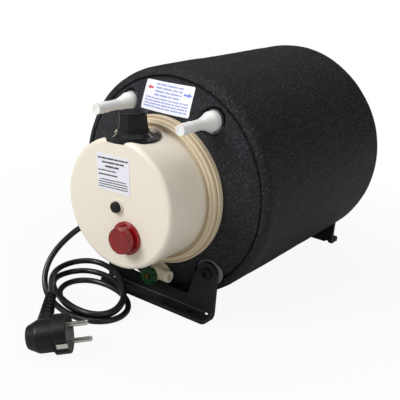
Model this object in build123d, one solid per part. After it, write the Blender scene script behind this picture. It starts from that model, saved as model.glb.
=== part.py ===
from build123d import *
import os
from math import asin, atan, cos, degrees, hypot, pi, radians, sin, sqrt, tan

# Caravan water heater: a small insulated steel tank lying on two bent feet, with
# an electric element, thermostat and pilot lamp behind a round moulded cover.
# Millimetres, +Z up, the cover faces -Y, the tank's axis runs along Y, and the
# origin is on the floor under the middle of the whole width and depth.

# Tank and foam
tank_radius = 110.0
tank_wall = 1.5
knuckle_radius = 5.0
foam_fit = 0.3
jacket_wall = 9.7
jacket_length = 250.0
jacket_edge = 7.4
pad_dome = 248.0
pad_wall = 9.4
floor_gap = 6.0
overrun = 2.0
running_fit = 0.06
hole_play = 0.2

# Front cover
cover_turn = 4.0
cover_drop = 1.8
cap_radius = 64.6
cap_reach = 79.2
cap_wall = 2.5
cap_edge = 4.5
base_rim_radius = 76.4
base_step_radius = 73.6
base_lip_radius = 71.0
base_lip_reach = 26.0
base_wall = 2.5
base_groove = 1.2
clip_count = 3

# Element flange
neck_radius = 60.0
neck_bore = 45.0
neck_reach = 15.0
gasket_wall = 2.0
flange_wall = 3.0
stud_ring = 52.5
stud_count = 6
stud_first_angle = 0.0
stud_radius = 3.0
stud_depth = 8.0
nut_width = 10.0
nut_height = 5.0
washer_radius = 6.0
washer_wall = 1.2
element_tube = 4.0
element_spread = 14.0
element_length = 178.0
element_low = 14.0
terminal_radius = 2.0
terminal_reach = 12.0
bead_radius = 3.8
bead_length = 6.0
pocket_radius = 4.5
pocket_bore = 3.4
pocket_length = 150.0
pocket_high = 18.0
sensor_radius = 3.2
sensor_length = 95.0
capillary_radius = 0.9

# Thermostat, knob and spindle
knob_depth = 53.6
knob_seat = 59.4
knob_rim_radius = 26.0
knob_rim_high = 61.6
knob_rim_wall = 1.7
knob_brim_high = 66.5
knob_grip_low_radius = 15.6
knob_grip_high_radius = 13.6
knob_top = 86.0
knob_top_edge = 1.0
knob_flats = 8
knob_flat_depth = 1.1
knob_flat_margin = 3.4
knob_shell = 2.2
knob_hub_radius = 5.5
knob_well_play = 1.6
spindle_radius = 3.0
spindle_depth = 12.0
thermostat_width = 36.0
thermostat_depth = 30.0
thermostat_height = 22.0
thermostat_edge = 3.0
thermostat_screw_spread = 10.0
screw_radius = 2.0
screw_head_radius = 3.6
screw_length = 8.0

# Reset button and its cutout
button_drop = 1.6
button_radius = 5.3
button_proud = 5.0
button_play = 0.3
button_travel = 2.0
halo_radius = 7.4
halo_proud = 1.3
button_flange_radius = 6.6
button_flange_wall = 1.5
button_stem_radius = 2.0
button_stem_length = 9.0
cutout_radius = 11.0
cutout_length = 18.0
cutout_well_radius = 8.2
blade_width = 6.3
blade_wall = 0.8
blade_length = 9.0

# Pilot lamp
lamp_side = 11.6
lamp_drop = 30.5
bezel_radius = 16.4
bezel_proud = 3.0
lens_radius = 12.9
lens_proud = 12.8
lens_wall = 1.6
lens_edge = 1.2
lamp_body_radius = 10.0
lamp_body_length = 24.0
lamp_nut_radius = 14.0
lamp_nut_wall = 3.0
bulb_radius = 3.0
bulb_length = 9.0

# Hose connectors, in the tank's level frame
hose_side = 51.5
hose_high = 77.5
hose_tip_reach = 55.5
hose_stem_radius = 5.25
hose_stem_low = 25.0
hose_barb_radius = 5.75
hose_barb_pitch = 7.5
hose_barb_count = 2
hose_shoulder_radius = 6.6
hose_foot_radius = 10.0
hose_foot_reach = 8.0
hose_bore = 3.3
hose_thread_radius = 6.4
hose_well_radius = 12.6
boss_radius = 11.0
boss_proud = 1.0
seal_wall = 1.5
inner_pipe_radius = 4.6
inner_pipe_wall = 1.0
cold_pipe_length = 34.0
hot_pipe_run = 120.0
hot_pipe_top_share = 0.92

# Drain valve
drain_drop = 94.0
drain_collar_radius = 12.0
drain_collar_wall = 5.4
drain_barrel_radius = 8.2
drain_barrel_over = 0.4
drain_bonnet_radius = 5.6
drain_bonnet_wall = 1.2
drain_bore = 4.7
drain_plug_play = 0.3
drain_plug_length = 5.0
drain_spout_reach = 15.6
drain_spout_length = 18.5
drain_spout_radius = 6.25
drain_spout_bore = 3.5
drain_spindle_radius = 2.4
wheel_radius = 9.5
wheel_wall = 6.2
wheel_gap = 0.3
wheel_lobes = 6
wheel_scallop = 2.6
wheel_dish = 1.2
wheel_screw_radius = 2.6
wheel_screw_proud = 1.0

# Feet
bracket_inner_reach = 5.5
bracket_wall = 4.5
bracket_flange_reach = 26.0
bracket_half_width = 71.0
bracket_stud_side = 60.0
bracket_stud_drop = 78.0
bracket_head_radius = 12.0
bracket_waist = 38.0
bracket_rail_drop = 107.5
bracket_bend_radius = 5.5
bracket_inner_bend = 1.0
bracket_corner = 4.0
bracket_hole_radius = 3.3
bracket_hole_side = 50.0
bracket_notch_width = 5.5
bracket_notch_height = 5.0
bracket_notch_inset = 8.0
spacer_radius = 14.5
spacer_bore = 4.4
foot_bolt_radius = 4.0
foot_bolt_head_radius = 6.6
foot_bolt_head_height = 2.8
foot_bolt_socket = 2.5
foot_bolt_depth = 7.0
foot_boss_radius = 8.0

# Cord: gland, drop, coil and plug
cord_radius = 3.1
cord_fit = 0.1
cord_arc_share = 0.45
gland_angle = 211.0
gland_reach = 50.0
gland_boss_radius = 9.0
gland_boss_proud = 2.0
gland_hex_width = 14.0
gland_hex_wall = 4.5
gland_cap_radius = 6.2
gland_cap_length = 9.5
gland_thread_radius = 5.6
gland_nut_wall = 3.0
tail_length = 14.0
strap_width = 8.0

# Free stretch from the gland to the floor: its first run goes on along the gland,
# then points of the route
drop_first_run = 14.0
drop_route = [
    (-90.0, -145.5, 57.5),
    (-99.5, -152.5, 44.0),
    (-103.5, -161.0, 31.0),
    (-101.0, -170.0, 19.5),
    (-94.0, -177.0, 10.0),
    (-84.0, -182.5, 4.4),
    (-72.5, -187.0, 3.3),
]
# Coil: quarter-turn places of three loose turns, each (x, y, height of the cord's
# centre, heading in degrees, climb per length); it starts where the drop ends and
# leads to the plug
coil_route = [
    (-38.0, -196.5, 3.3, 0.0, 0.0),
    (4.0, -165.0, 3.3, 90.0, 0.0),
    (-56.0, -122.5, 3.3, 180.0, 0.0),
    (-89.5, -150.0, 3.3, 270.0, 0.0),
    (-34.0, -186.0, 3.3, 0.0, 0.0),
    (-7.0, -163.0, 3.9, 90.0, 0.04),
    (-27.0, -128.5, 10.6, 140.0, 0.02),
    (-67.0, -116.0, 9.8, 180.0, -0.02),
    (-103.0, -140.0, 7.0, 268.0, 0.0),
    (-82.5, -175.4, 10.4, -40.0, 0.0),
    (-35.0, -191.2, 8.8, 0.0, 0.0),
    (-1.5, -164.0, 9.9, 90.0, 0.05),
    (-24.0, -131.0, 18.0, 138.0, 0.03),
    (-74.0, -108.5, 18.0, 180.0, 0.0),
    (-104.0, -143.0, 17.3, 268.0, 0.0),
    (-88.0, -172.0, 18.5, -50.0, 0.22),
]

# Plug: where its face lies on the floor and how it is turned
plug_place = (10.6, -243.4, 22.0)
plug_yaw = 36.9
plug_tilt = 11.0
plug_roll = 9.6
plug_face_radius = 18.6
plug_back_radius = 15.6
plug_step = 13.0
plug_depth = 39.0
plug_round = 5.5
plug_exit_depth = 26.0
plug_exit_radius = 9.0
plug_exit_length = 28.0
plug_flat_width = 13.5
plug_flat_depth = 1.6
plug_pin_radius = 2.4
plug_pin_length = 19.0
plug_pin_spread = 9.5
plug_pin_root = 8.0
plug_earth_offset = 10.0
plug_earth_radius = 2.6
plug_earth_depth = 17.0
plug_clip_width = 5.0
plug_clip_wall = 1.2
plug_clip_length = 10.0
relief_length = 34.0
relief_low_radius = 6.2
relief_high_radius = 4.3
relief_ribs = 6
relief_rib_height = 0.9
relief_rib_share = 0.5

# Sizes that follow
jacket_radius = tank_radius + foam_fit + jacket_wall
axis_high = jacket_radius + floor_gap
front_reach = cap_reach + lens_proud
whole_depth = front_reach + jacket_length + bracket_flange_reach
front_y = front_reach - whole_depth / 2
rear_y = front_y + jacket_length
dome_centre = sqrt(pad_dome**2 - tank_radius**2)
tank_dome = pad_dome - pad_wall - foam_fit
pad_hole_radius = neck_radius + foam_fit
stud_circle = hypot(bracket_stud_side, bracket_stud_drop)
hose_circle = hypot(hose_side, hose_high)
gasket_face = neck_reach + gasket_wall
flange_face = gasket_face + flange_wall
base_floor = flange_face + base_wall
cap_inner_radius = cap_radius - cap_wall
cap_inner_face = cap_reach - cap_wall
drain_barrel_reach = drain_spout_reach + drain_spout_radius + drain_barrel_over


def dome_reach(radius, dome):
    """How far a dome's surface stands in front of the jacket's front plane."""
    return sqrt(dome**2 - radius**2) - dome_centre


base_back = dome_reach(base_rim_radius, pad_dome)
spacer_back = dome_reach(stud_circle - spacer_radius, tank_dome) + foam_fit
hose_boss_reach = dome_reach(hose_circle - boss_radius, tank_dome) + boss_proud
drain_boss_reach = dome_reach(drain_drop - boss_radius, tank_dome) + boss_proud
level = Pos(0, front_y, axis_high)
rear_level = Pos(0, rear_y, axis_high) * Rot(0, 0, 180)
turned = Pos(0, front_y, axis_high - cover_drop) * Rot(0, -cover_turn, 0)


def spun(points, radii=None):
    """Turn a closed outline of (radius, reach to the front) about the Y axis."""
    flipped = [(radius, -reach) for radius, reach in points]
    if radii is None:
        outline = Polyline(*flipped, close=True)
    else:
        outline = FilletPolyline(*flipped, radius=radii, close=True)
    return revolve(make_face(outline), Axis.Y)


def rod(radius, start, end):
    """A round bar along Y between two reaches to the front."""
    return Pos(0, -(start + end) / 2, 0) * Rot(90, 0, 0) * Cylinder(radius, abs(end - start))


def tube(radius, bore, start, end):
    return rod(radius, start, end) - rod(bore, start - overrun, end + overrun)


def at(x, z, shape):
    """Move a piece made on the Y axis to a place on the front."""
    return Pos(x, 0, z) * shape


def ring_places(count, radius, first=0.0):
    angles = [radians(first + 360 * step / count) for step in range(count)]
    return [(radius * cos(angle), radius * sin(angle)) for angle in angles]


def shell_profile(radius, dome, back_reach):
    """Half outline of a barrel with a domed front, as a face on the XY plane."""
    top = dome_reach(0, dome)
    edge = dome_reach(radius, dome)
    bow_radius = radius / sqrt(2)
    bow = dome_reach(bow_radius, dome)
    lines = [
        Line((0, back_reach), (0, -top)),
        ThreePointArc((0, -top), (bow_radius, -bow), (radius, -edge)),
        Line((radius, -edge), (radius, back_reach)),
        Line((radius, back_reach), (0, back_reach)),
    ]
    return make_face(Curve() + lines)


def half_tank(radius, dome, knuckle):
    """The front half of a domed tank, with its knuckle rounded."""
    profile = shell_profile(radius, dome, jacket_length / 2)
    corner = profile.vertices().group_by(Axis.X)[-1].sort_by(Axis.Y)[0]
    return revolve(fillet(corner, knuckle), Axis.Y)


def whole_tank(radius, dome, knuckle):
    front = half_tank(radius, dome, knuckle)
    return front + mirror(front, Plane.XZ.offset(-jacket_length / 2))


# Tank

def tank_shell():
    outer = whole_tank(tank_radius, tank_dome, knuckle_radius)
    inner = whole_tank(tank_radius - tank_wall, tank_dome - tank_wall, knuckle_radius)
    neck_back = dome_reach(neck_radius, tank_dome) - tank_wall
    neck = at(0, -cover_drop, rod(neck_radius, neck_back - overrun, neck_reach))
    bosses = [neck]
    for side in (-1, 1):
        bosses.append(at(side * hose_side, hose_high, rod(boss_radius, -overrun - pad_wall, hose_boss_reach)))
    bosses.append(at(0, -drain_drop, rod(boss_radius, -overrun - pad_wall, drain_boss_reach)))
    foot_bosses = foot_places(rod(foot_boss_radius, -pad_wall - foot_bolt_depth, spacer_back))
    shell = outer + bosses + foot_bosses
    shell += mirror(foot_bosses, Plane.XZ.offset(-jacket_length / 2))
    shell -= inner - neck_guard() - foot_guard()
    shell -= at(0, -cover_drop, rod(neck_bore, neck_back - pad_wall, neck_reach + overrun))
    for side in (-1, 1):
        hole = rod(hose_thread_radius + hole_play, -jacket_wall - pad_wall, front_reach)
        shell -= at(side * hose_side, hose_high, hole)
    shell -= at(0, -drain_drop, rod(hose_thread_radius + hole_play, -jacket_wall - pad_wall, front_reach))
    for x, z in ring_places(stud_count, stud_ring, stud_first_angle):
        stud_hole = rod(stud_radius + hole_play, neck_reach - stud_depth, neck_reach + overrun)
        shell -= Pos(0, 0, -cover_drop) * Rot(0, -cover_turn, 0) * at(x, z, stud_hole)
    bolt_holes = foot_places(rod(foot_bolt_radius + hole_play, spacer_back - foot_bolt_depth, front_reach))
    shell -= bolt_holes
    shell -= mirror(bolt_holes, Plane.XZ.offset(-jacket_length / 2))
    return level * shell


def foot_places(piece):
    return Compound([at(side * bracket_stud_side, -bracket_stud_drop, piece) for side in (-1, 1)])


def neck_guard():
    """What the hollow leaves standing: the ring that the element's studs screw into."""
    back = neck_reach - stud_depth - tank_wall
    return at(0, -cover_drop, rod(neck_radius, back, neck_reach))


def foot_guard():
    """What the hollow leaves standing: the blind bosses of the feet."""
    front = foot_places(rod(foot_boss_radius, spacer_back - foot_bolt_depth - tank_wall, spacer_back))
    return front + mirror(front, Plane.XZ.offset(-jacket_length / 2))


def cold_inlet_pipe():
    pipe = inner_pipe(cold_pipe_length)
    slot = Box(2 * inner_pipe_radius + overrun, inner_pipe_radius, inner_pipe_radius)
    slot_place = Pos(0, cold_pipe_length - 2 * inner_pipe_radius, inner_pipe_radius)
    return level * at(-hose_side, hose_high, pipe - slot_place * slot)


def inner_pipe(length):
    start = hose_boss_reach - boss_radius
    return tube(inner_pipe_radius, inner_pipe_radius - inner_pipe_wall, start, -length)


def hot_outlet_pipe():
    start = boss_radius - hose_boss_reach
    rise = tank_radius * hot_pipe_top_share - hose_circle
    lean = Vector(hose_side, 0, hose_high).normalized()
    corner = Vector(0, hot_pipe_run, 0)
    points = [Vector(0, start, 0), corner, corner + Vector(0, hot_pipe_run, 0) / 4 + lean * rise]
    route = FilletPolyline(*points, radius=4 * inner_pipe_radius)
    section = Plane(origin=points[0], z_dir=(0, 1, 0)) * Circle(inner_pipe_radius)
    bore = Plane(origin=points[0], z_dir=(0, 1, 0)) * Circle(inner_pipe_radius - inner_pipe_wall)
    return level * at(hose_side, hose_high, sweep(section - bore, path=route))


# Foam

def insulation_jacket():
    inner = tank_radius + foam_fit
    outline = [(inner, 0), (jacket_radius, 0), (jacket_radius, -jacket_length), (inner, -jacket_length)]
    return level * spun(outline, [0, jacket_edge, jacket_edge, 0])


def pad_disc():
    """One foam disc over a domed end, before its holes."""
    outer = revolve(shell_profile(tank_radius, pad_dome, pad_wall + pad_dome), Axis.Y)
    inner = revolve(shell_profile(tank_radius + overrun, tank_dome + foam_fit, 2 * pad_dome), Axis.Y)
    return outer - inner


def stud_wells(pad):
    """Cut a pad for the spacers, and press it flat behind the foot's plate."""
    wells = foot_places(rod(spacer_radius + foam_fit, -pad_dome, front_reach))
    pressed = extrude(foot_plate(), bracket_wall + pad_wall)
    return pad - wells - Pos(0, foam_fit - bracket_inner_reach, 0) * Rot(90, 0, 0) * pressed


def front_insulation_pad():
    pad = stud_wells(pad_disc())
    pad -= at(0, -cover_drop, rod(pad_hole_radius, -pad_dome, front_reach))
    seat = base_back + foam_fit
    cut = tube(base_rim_radius + foam_fit, pad_hole_radius - overrun, base_back - foam_fit, seat + pad_dome)
    pad -= at(0, -cover_drop, cut)
    for side in (-1, 1):
        pad -= at(side * hose_side, hose_high, rod(hose_well_radius, -pad_dome, front_reach))
    pad -= at(0, -drain_drop, rod(drain_collar_radius + foam_fit, -pad_dome, front_reach))
    return level * pad


def rear_insulation_pad():
    return rear_level * stud_wells(pad_disc())


# Element flange and heating element

def stud_places(piece):
    return Compound([at(x, z, piece) for x, z in ring_places(stud_count, stud_ring, stud_first_angle)])


def with_stud_holes(plate, start, end):
    return plate - stud_places(rod(stud_radius + hole_play, start, end))


def flange_gasket():
    ring = tube(neck_radius, neck_bore, neck_reach, gasket_face)
    return turned * with_stud_holes(ring, neck_reach - overrun, gasket_face + overrun)


def element_flange():
    plate = rod(neck_radius, gasket_face, flange_face)
    plate = with_stud_holes(plate, gasket_face - overrun, flange_face + overrun)
    for side in (-1, 1):
        hole = rod(element_tube + running_fit, gasket_face - overrun, flange_face + overrun)
        plate -= at(side * element_spread, -element_low, hole)
    pocket_hole = rod(pocket_radius + running_fit, gasket_face - overrun, flange_face + overrun)
    plate -= at(0, pocket_high, pocket_hole)
    return turned * plate


def flange_studs():
    tip = base_floor + washer_wall + nut_height + overrun
    return turned * stud_places(rod(stud_radius, neck_reach - stud_depth, tip))


def flange_washers():
    washer = tube(washer_radius, stud_radius + hole_play, base_floor, base_floor + washer_wall)
    return turned * stud_places(washer)


def hex_rod(width, start, end):
    """A hexagonal bar along Y, given across its flats."""
    flat = RegularPolygon(width / 2, 6, major_radius=False)
    return Pos(0, -start, 0) * Rot(90, 0, 0) * extrude(flat, end - start)


def flange_nuts():
    start = base_floor + washer_wall
    nut = hex_rod(nut_width, start, start + nut_height)
    nut -= rod(stud_radius + running_fit, start - overrun, start + nut_height + overrun)
    return turned * stud_places(nut)


def heating_element():
    front = flange_face + bead_length / 2
    far = element_length - element_spread
    lines = [
        Line((-element_spread, -front), (-element_spread, far)),
        ThreePointArc((-element_spread, far), (0, element_length), (element_spread, far)),
        Line((element_spread, far), (element_spread, -front)),
    ]
    section = Plane(origin=(-element_spread, -front, 0), z_dir=(0, 1, 0)) * Circle(element_tube)
    return turned * Pos(0, 0, -element_low) * sweep(section, path=Wire(Curve() + lines))


def element_beads():
    start = flange_face + bead_length / 2
    bead = tube(bead_radius, terminal_radius + running_fit, start, start + bead_length)
    return turned * Compound([at(side * element_spread, -element_low, bead) for side in (-1, 1)])


def element_terminals():
    start = flange_face + bead_length / 2
    pin = rod(terminal_radius, start, start + bead_length + terminal_reach)
    nut = hex_rod(3 * terminal_radius, start + bead_length, start + bead_length + terminal_radius)
    return turned * Compound([at(side * element_spread, -element_low, pin + nut) for side in (-1, 1)])


def thermostat_pocket():
    outer = rod(pocket_radius, -pocket_length, flange_face + overrun)
    lip = rod(pocket_radius + tank_wall, flange_face, flange_face + overrun)
    bore = rod(pocket_bore, tank_wall - pocket_length, flange_face + 2 * overrun)
    return turned * at(0, pocket_high, outer + lip - bore)


def thermostat_sensor():
    start = flange_face + overrun + capillary_radius
    tip = -pocket_length + 2 * tank_wall
    bulb = rod(sensor_radius, tip, tip + sensor_length)
    target_high = knob_seat - cap_wall - thermostat_height
    rise = target_high - pocket_high
    bend = (knob_depth - start) / 2
    points = [
        (0, -tip - sensor_length, 0),
        (0, -start - bend, 0),
        (0, -knob_depth, rise / 3),
        (0, -knob_depth, rise),
    ]
    tail = -tip - sensor_length
    bends = [bend / 2, bend / 4]
    route = FilletPolyline(*points, radius=bends)
    section = Plane(origin=(0, tail, 0), z_dir=(0, -1, 0)) * Circle(capillary_radius)
    return turned * at(0, pocket_high, bulb + sweep(section, path=route))


# Moulded cover

def cover_base():
    rim_front = (base_back + base_lip_reach) / 2
    outline = [
        (neck_bore + base_wall, flange_face),
        (neck_radius + foam_fit, flange_face),
        (neck_radius + foam_fit, base_back),
        (base_rim_radius, base_back),
        (base_rim_radius, rim_front),
        (base_step_radius + base_groove, rim_front),
        (base_step_radius + base_groove, rim_front - base_groove),
        (base_step_radius, rim_front - base_groove),
        (base_step_radius, base_lip_reach - base_wall),
        (base_lip_radius, base_lip_reach - base_wall),
        (base_lip_radius, base_lip_reach),
        (base_lip_radius - base_wall, base_lip_reach),
        (base_lip_radius - base_wall, base_floor),
        (neck_bore + base_wall, base_floor),
    ]
    small = base_groove / 3
    radii = [0, 0, 0, small, small, small, 0, 0, base_groove, 0, base_groove / 2, base_groove / 2, small, 0]
    ring = spun(outline, radii)
    ring = with_stud_holes(ring, flange_face - overrun, base_floor + overrun)
    for angle in clip_angles():
        ring -= Rot(0, angle, 0) * clip_slot()
    return turned * ring


def clip_angles():
    """Each clip stands midway between two studs, and none under the knob."""
    between = stud_first_angle + 180 / stud_count
    return [-between - 360 * step / clip_count for step in range(clip_count)]


def clip_slot():
    width = base_wall * 4 + 2 * hole_play
    radial = base_wall + 2 * hole_play
    centre = cap_inner_radius - base_wall
    slot_depth = 2 * base_wall
    return Pos(centre, -base_floor, 0) * Box(radial, slot_depth, width)


def cap_clips():
    """Three hooks inside the cap that press through the base's slots."""
    hooks = []
    reach = base_floor + cap_wall * 3
    leg_length = reach - flange_face - 2 * hole_play
    width = base_wall * 4
    centre = cap_inner_radius - base_wall
    for angle in clip_angles():
        leg = Pos(centre, -(reach - leg_length / 2), 0) * Box(base_wall, leg_length, width)
        foot_width = cap_inner_radius - centre + cap_wall / 2
        foot = Pos(centre + foot_width / 2, -(reach - base_wall / 2), 0) * Box(foot_width, base_wall, width)
        hooks.append(Rot(0, angle, 0) * (leg + foot))
    return hooks


def knob_axis(piece):
    """Move a piece made on the Z axis to the knob's place on the cover."""
    return Pos(0, -knob_depth, 0) * piece


def cover_cap():
    well_radius = knob_rim_radius + knob_well_play
    high = cap_radius
    outline = [(0, base_floor), (cap_radius, base_floor), (cap_radius, cap_reach), (0, cap_reach)]
    outer = spun(outline, [0, 0, cap_edge, 0])
    outer -= knob_axis(Pos(0, 0, knob_seat + high / 2) * Cylinder(well_radius, high))
    inner_edge = cap_edge - cap_wall
    inside = [
        (0, base_floor - overrun),
        (cap_inner_radius, base_floor - overrun),
        (cap_inner_radius, cap_inner_face),
        (0, cap_inner_face),
    ]
    hollow = spun(inside, [0, 0, inner_edge, 0])
    hollow -= knob_axis(Pos(0, 0, knob_seat - cap_wall + high / 2) * Cylinder(well_radius + cap_wall, high))
    gland_way = Rot(0, -gland_angle, 0)
    boss_top = cap_radius + gland_boss_proud
    boss_bar = Pos(boss_top / 2, -gland_reach, 0) * Rot(0, 90, 0) * Cylinder(gland_boss_radius, boss_top)
    cap = outer + gland_way * boss_bar - hollow
    cap += cap_clips()
    cap += at(0, -button_drop, rod(halo_radius, cap_reach - cap_wall / 2, cap_reach + halo_proud))
    cap -= at(0, -button_drop, rod(button_radius + button_play, cap_inner_face - overrun, front_reach))
    cap -= at(lamp_side, -lamp_drop, rod(lamp_body_radius + hole_play, cap_inner_face - overrun, front_reach))
    cap -= knob_axis(Pos(0, 0, knob_seat) * Cylinder(spindle_radius + 2 * hole_play, 4 * cap_wall))
    for side in (-1, 1):
        cap -= knob_axis(Pos(side * thermostat_screw_spread, 0, knob_seat) * screw_hole())
    thread_way = Cylinder(gland_thread_radius + hole_play, boss_top + overrun)
    thread_way = Pos(boss_top / 2, -gland_reach, 0) * Rot(0, 90, 0) * thread_way
    inner_half = Pos(0, -gland_reach, 0) * Cylinder(cap_inner_radius - base_wall, 4 * cap_radius)
    cap -= gland_way * (thread_way - inner_half)
    return turned * cap


def screw_hole():
    """Countersunk hole for a screw, from the seat down."""
    sink = screw_head_radius - screw_radius
    cone = Pos(0, 0, -sink / 2) * Cone(screw_radius + hole_play, screw_head_radius + hole_play, sink)
    return cone + Cylinder(screw_radius + hole_play, 4 * cap_wall)


def thermostat_screws():
    sink = screw_head_radius - screw_radius
    head = Pos(0, 0, -sink / 2) * Cone(screw_radius, screw_head_radius, sink)
    slot = Box(2 * screw_head_radius, screw_radius / 2, screw_radius)
    screw = head + Pos(0, 0, -sink - screw_length / 2) * Cylinder(screw_radius, screw_length) - slot
    pair = [Pos(side * thermostat_screw_spread, 0, knob_seat) * screw for side in (-1, 1)]
    return turned * knob_axis(Compound(pair))


# Thermostat, knob and spindle

def thermostat_body():
    top = knob_seat - cap_wall
    box = Box(thermostat_width, thermostat_depth, thermostat_height)
    box = fillet(box.edges().filter_by(Axis.Z), thermostat_edge)
    body = Pos(0, 0, top - thermostat_height / 2) * box
    spindle_hole = Cylinder(spindle_radius + running_fit, spindle_depth + hole_play)
    body -= Pos(0, 0, top - spindle_depth / 2) * spindle_hole
    for side in (-1, 1):
        tapped = Cylinder(screw_radius + running_fit, 2 * screw_length)
        body -= Pos(side * thermostat_screw_spread, 0, top) * tapped
        blade_place = Pos(side * thermostat_width / 4, 0, top - thermostat_height - blade_length / 2)
        body += blade_place * Box(blade_wall, blade_width, blade_length + overrun)
    return turned * knob_axis(body)


def spindle():
    low = knob_seat - cap_wall - spindle_depth + 2 * hole_play
    high = knob_top - knob_flat_margin - knob_shell
    shaft = Pos(0, 0, (low + high) / 2) * Cylinder(spindle_radius, high - low)
    flat_height = high - knob_rim_high
    flat = Box(2 * spindle_radius, spindle_radius, flat_height)
    return shaft - Pos(0, spindle_radius, high - flat_height / 2) * flat


def thermostat_spindle():
    return turned * knob_axis(spindle())


def thermostat_knob():
    brim_side = knob_grip_low_radius + (knob_rim_radius - knob_grip_low_radius) / 3
    under = knob_brim_high - knob_rim_wall
    outer = Polyline(
        (0, knob_top),
        (knob_grip_high_radius, knob_top),
        (knob_grip_low_radius, knob_brim_high),
        (brim_side, knob_rim_high + (knob_brim_high - knob_rim_high) / 3),
        (knob_rim_radius, knob_rim_high),
        (knob_rim_radius, knob_rim_high - knob_rim_wall),
        (knob_rim_radius - knob_rim_wall, knob_rim_high - knob_rim_wall),
        (knob_grip_low_radius, under - knob_rim_wall),
        (0, under - knob_rim_wall),
        close=True,
    )
    body = revolve(make_face(Plane.XZ * outer), Axis.Z)
    rims = body.edges().filter_by(GeomType.CIRCLE).group_by(Axis.Z)
    body = fillet(rims[-1], knob_top_edge)
    lean = degrees(atan((knob_grip_low_radius - knob_grip_high_radius) / (knob_top - knob_brim_high)))
    flat_low = knob_brim_high + knob_rim_wall / 2
    flat_high = knob_top - knob_flat_margin
    middle = (knob_grip_low_radius + knob_grip_high_radius) / 2
    reach = middle * cos(pi / knob_flats) - knob_flat_depth / 4
    for step in range(knob_flats):
        slab = Box(middle, middle * 2 * tan(pi / knob_flats), flat_high - flat_low)
        slab = Pos(reach + middle / 2, 0, 0) * slab
        leaned = Pos(0, 0, (flat_low + flat_high) / 2) * Rot(0, -lean, 0) * slab
        body -= Rot(0, 0, 360 * step / knob_flats) * leaned
    cavity_low = under - 2 * knob_rim_wall
    cavity_radius = knob_grip_high_radius - knob_shell - knob_flat_depth
    cavity_height = knob_top - knob_flat_margin - cavity_low
    cavity = Pos(0, 0, cavity_low + cavity_height / 2) * Cylinder(cavity_radius, cavity_height)
    cavity -= Pos(0, 0, knob_top / 2) * Cylinder(knob_hub_radius, knob_top)
    bore = offset_spindle()
    pointer = Box(knob_top_edge, knob_grip_high_radius, knob_top_edge / 2)
    pointer = Pos(0, -knob_grip_high_radius / 2, knob_top) * pointer
    return turned * knob_axis(body - cavity - bore - pointer)


def offset_spindle():
    """The knob's D-shaped bore, a running fit larger than the spindle."""
    low = knob_seat
    high = knob_top - knob_flat_margin - knob_shell + hole_play
    bore = Pos(0, 0, (low + high) / 2) * Cylinder(spindle_radius + running_fit, high - low)
    flat_height = high - knob_rim_high - hole_play
    flat = Box(2 * spindle_radius + overrun, spindle_radius, flat_height + hole_play)
    return bore - Pos(0, spindle_radius + running_fit, high - flat_height / 2) * flat


# Reset button and cutout

def reset_button():
    head_back = cap_inner_face - button_play
    head = rod(button_radius, head_back, cap_reach + button_proud)
    rim = head.edges().filter_by(GeomType.CIRCLE).sort_by(Axis.Y)[0]
    head = fillet(rim, button_radius / 4)
    flange = rod(button_flange_radius, head_back - button_flange_wall, head_back)
    stem_back = head_back - button_flange_wall - button_stem_length
    stem = rod(button_stem_radius, stem_back, head_back)
    return turned * at(0, -button_drop, head + flange + stem)


def safety_cutout():
    back = cap_inner_face - cutout_length
    body = rod(cutout_radius, back, cap_inner_face)
    well_back = cap_inner_face - button_play - button_flange_wall - button_travel - overrun
    body -= rod(cutout_well_radius, well_back, cap_inner_face + overrun)
    stem_back = cap_inner_face - button_flange_wall - button_stem_length - button_travel - overrun
    body -= rod(button_stem_radius + running_fit, stem_back, cap_inner_face)
    for side in (-1, 1):
        blade = Box(blade_wall, blade_length, blade_width)
        body += Pos(side * cutout_radius / 2, blade_length / 2 - back - overrun / 2, 0) * blade
    return turned * at(0, -button_drop, body)


# Pilot lamp

def lamp_at(piece):
    return turned * at(lamp_side, -lamp_drop, piece)


def pilot_lamp_bezel():
    points = [
        (lens_radius - lens_wall, cap_reach),
        (bezel_radius, cap_reach),
        (bezel_radius, cap_reach + bezel_proud),
        (lens_radius + running_fit, cap_reach + bezel_proud),
        (lens_radius + running_fit, cap_reach + bezel_proud / 3),
        (lens_radius - lens_wall, cap_reach + bezel_proud / 3),
    ]
    return lamp_at(spun(points, [0, 0, bezel_proud / 3, 0, 0, 0]))


def pilot_lamp_lens():
    back = cap_reach + bezel_proud / 3
    front = cap_reach + lens_proud
    inner = lens_radius - lens_wall
    points = [
        (inner, back),
        (lens_radius, back),
        (lens_radius, front),
        (0, front),
        (0, front - lens_wall),
        (inner, front - lens_wall),
    ]
    return lamp_at(spun(points, [0, 0, lens_edge, 0, 0, lens_edge / 2]))


def pilot_lamp_body():
    back = cap_reach - lamp_body_length
    body = rod(lamp_body_radius, back, cap_reach + bezel_proud / 3)
    socket_back = cap_reach - bulb_length / 2
    body -= rod(bulb_radius + running_fit, socket_back, front_reach)
    for side in (-1, 1):
        blade = Box(blade_wall, blade_length, blade_width)
        body += Pos(side * lamp_body_radius / 2, blade_length / 2 - back - overrun / 2, 0) * blade
    return lamp_at(body)


def pilot_lamp_nut():
    back = cap_inner_face - lamp_nut_wall
    ring = tube(lamp_nut_radius, lamp_body_radius + running_fit, back, cap_inner_face)
    keep = cap_inner_radius - lamp_nut_wall
    keeper = Pos(-lamp_side, 0, lamp_drop) * rod(keep, cap_inner_face - cutout_length, cap_inner_face)
    cutout_clear = Pos(-lamp_side, 0, lamp_drop - button_drop) * rod(cutout_radius + foam_fit, 0, cap_reach)
    return lamp_at((ring & keeper) - cutout_clear)


def neon_bulb():
    start = cap_reach - bulb_length / 2
    bulb = rod(bulb_radius, start, start + bulb_length)
    tip = bulb.edges().filter_by(GeomType.CIRCLE).sort_by(Axis.Y)[0]
    return lamp_at(fillet(tip, bulb_radius * 2 / 3))


# Hose connectors

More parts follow.
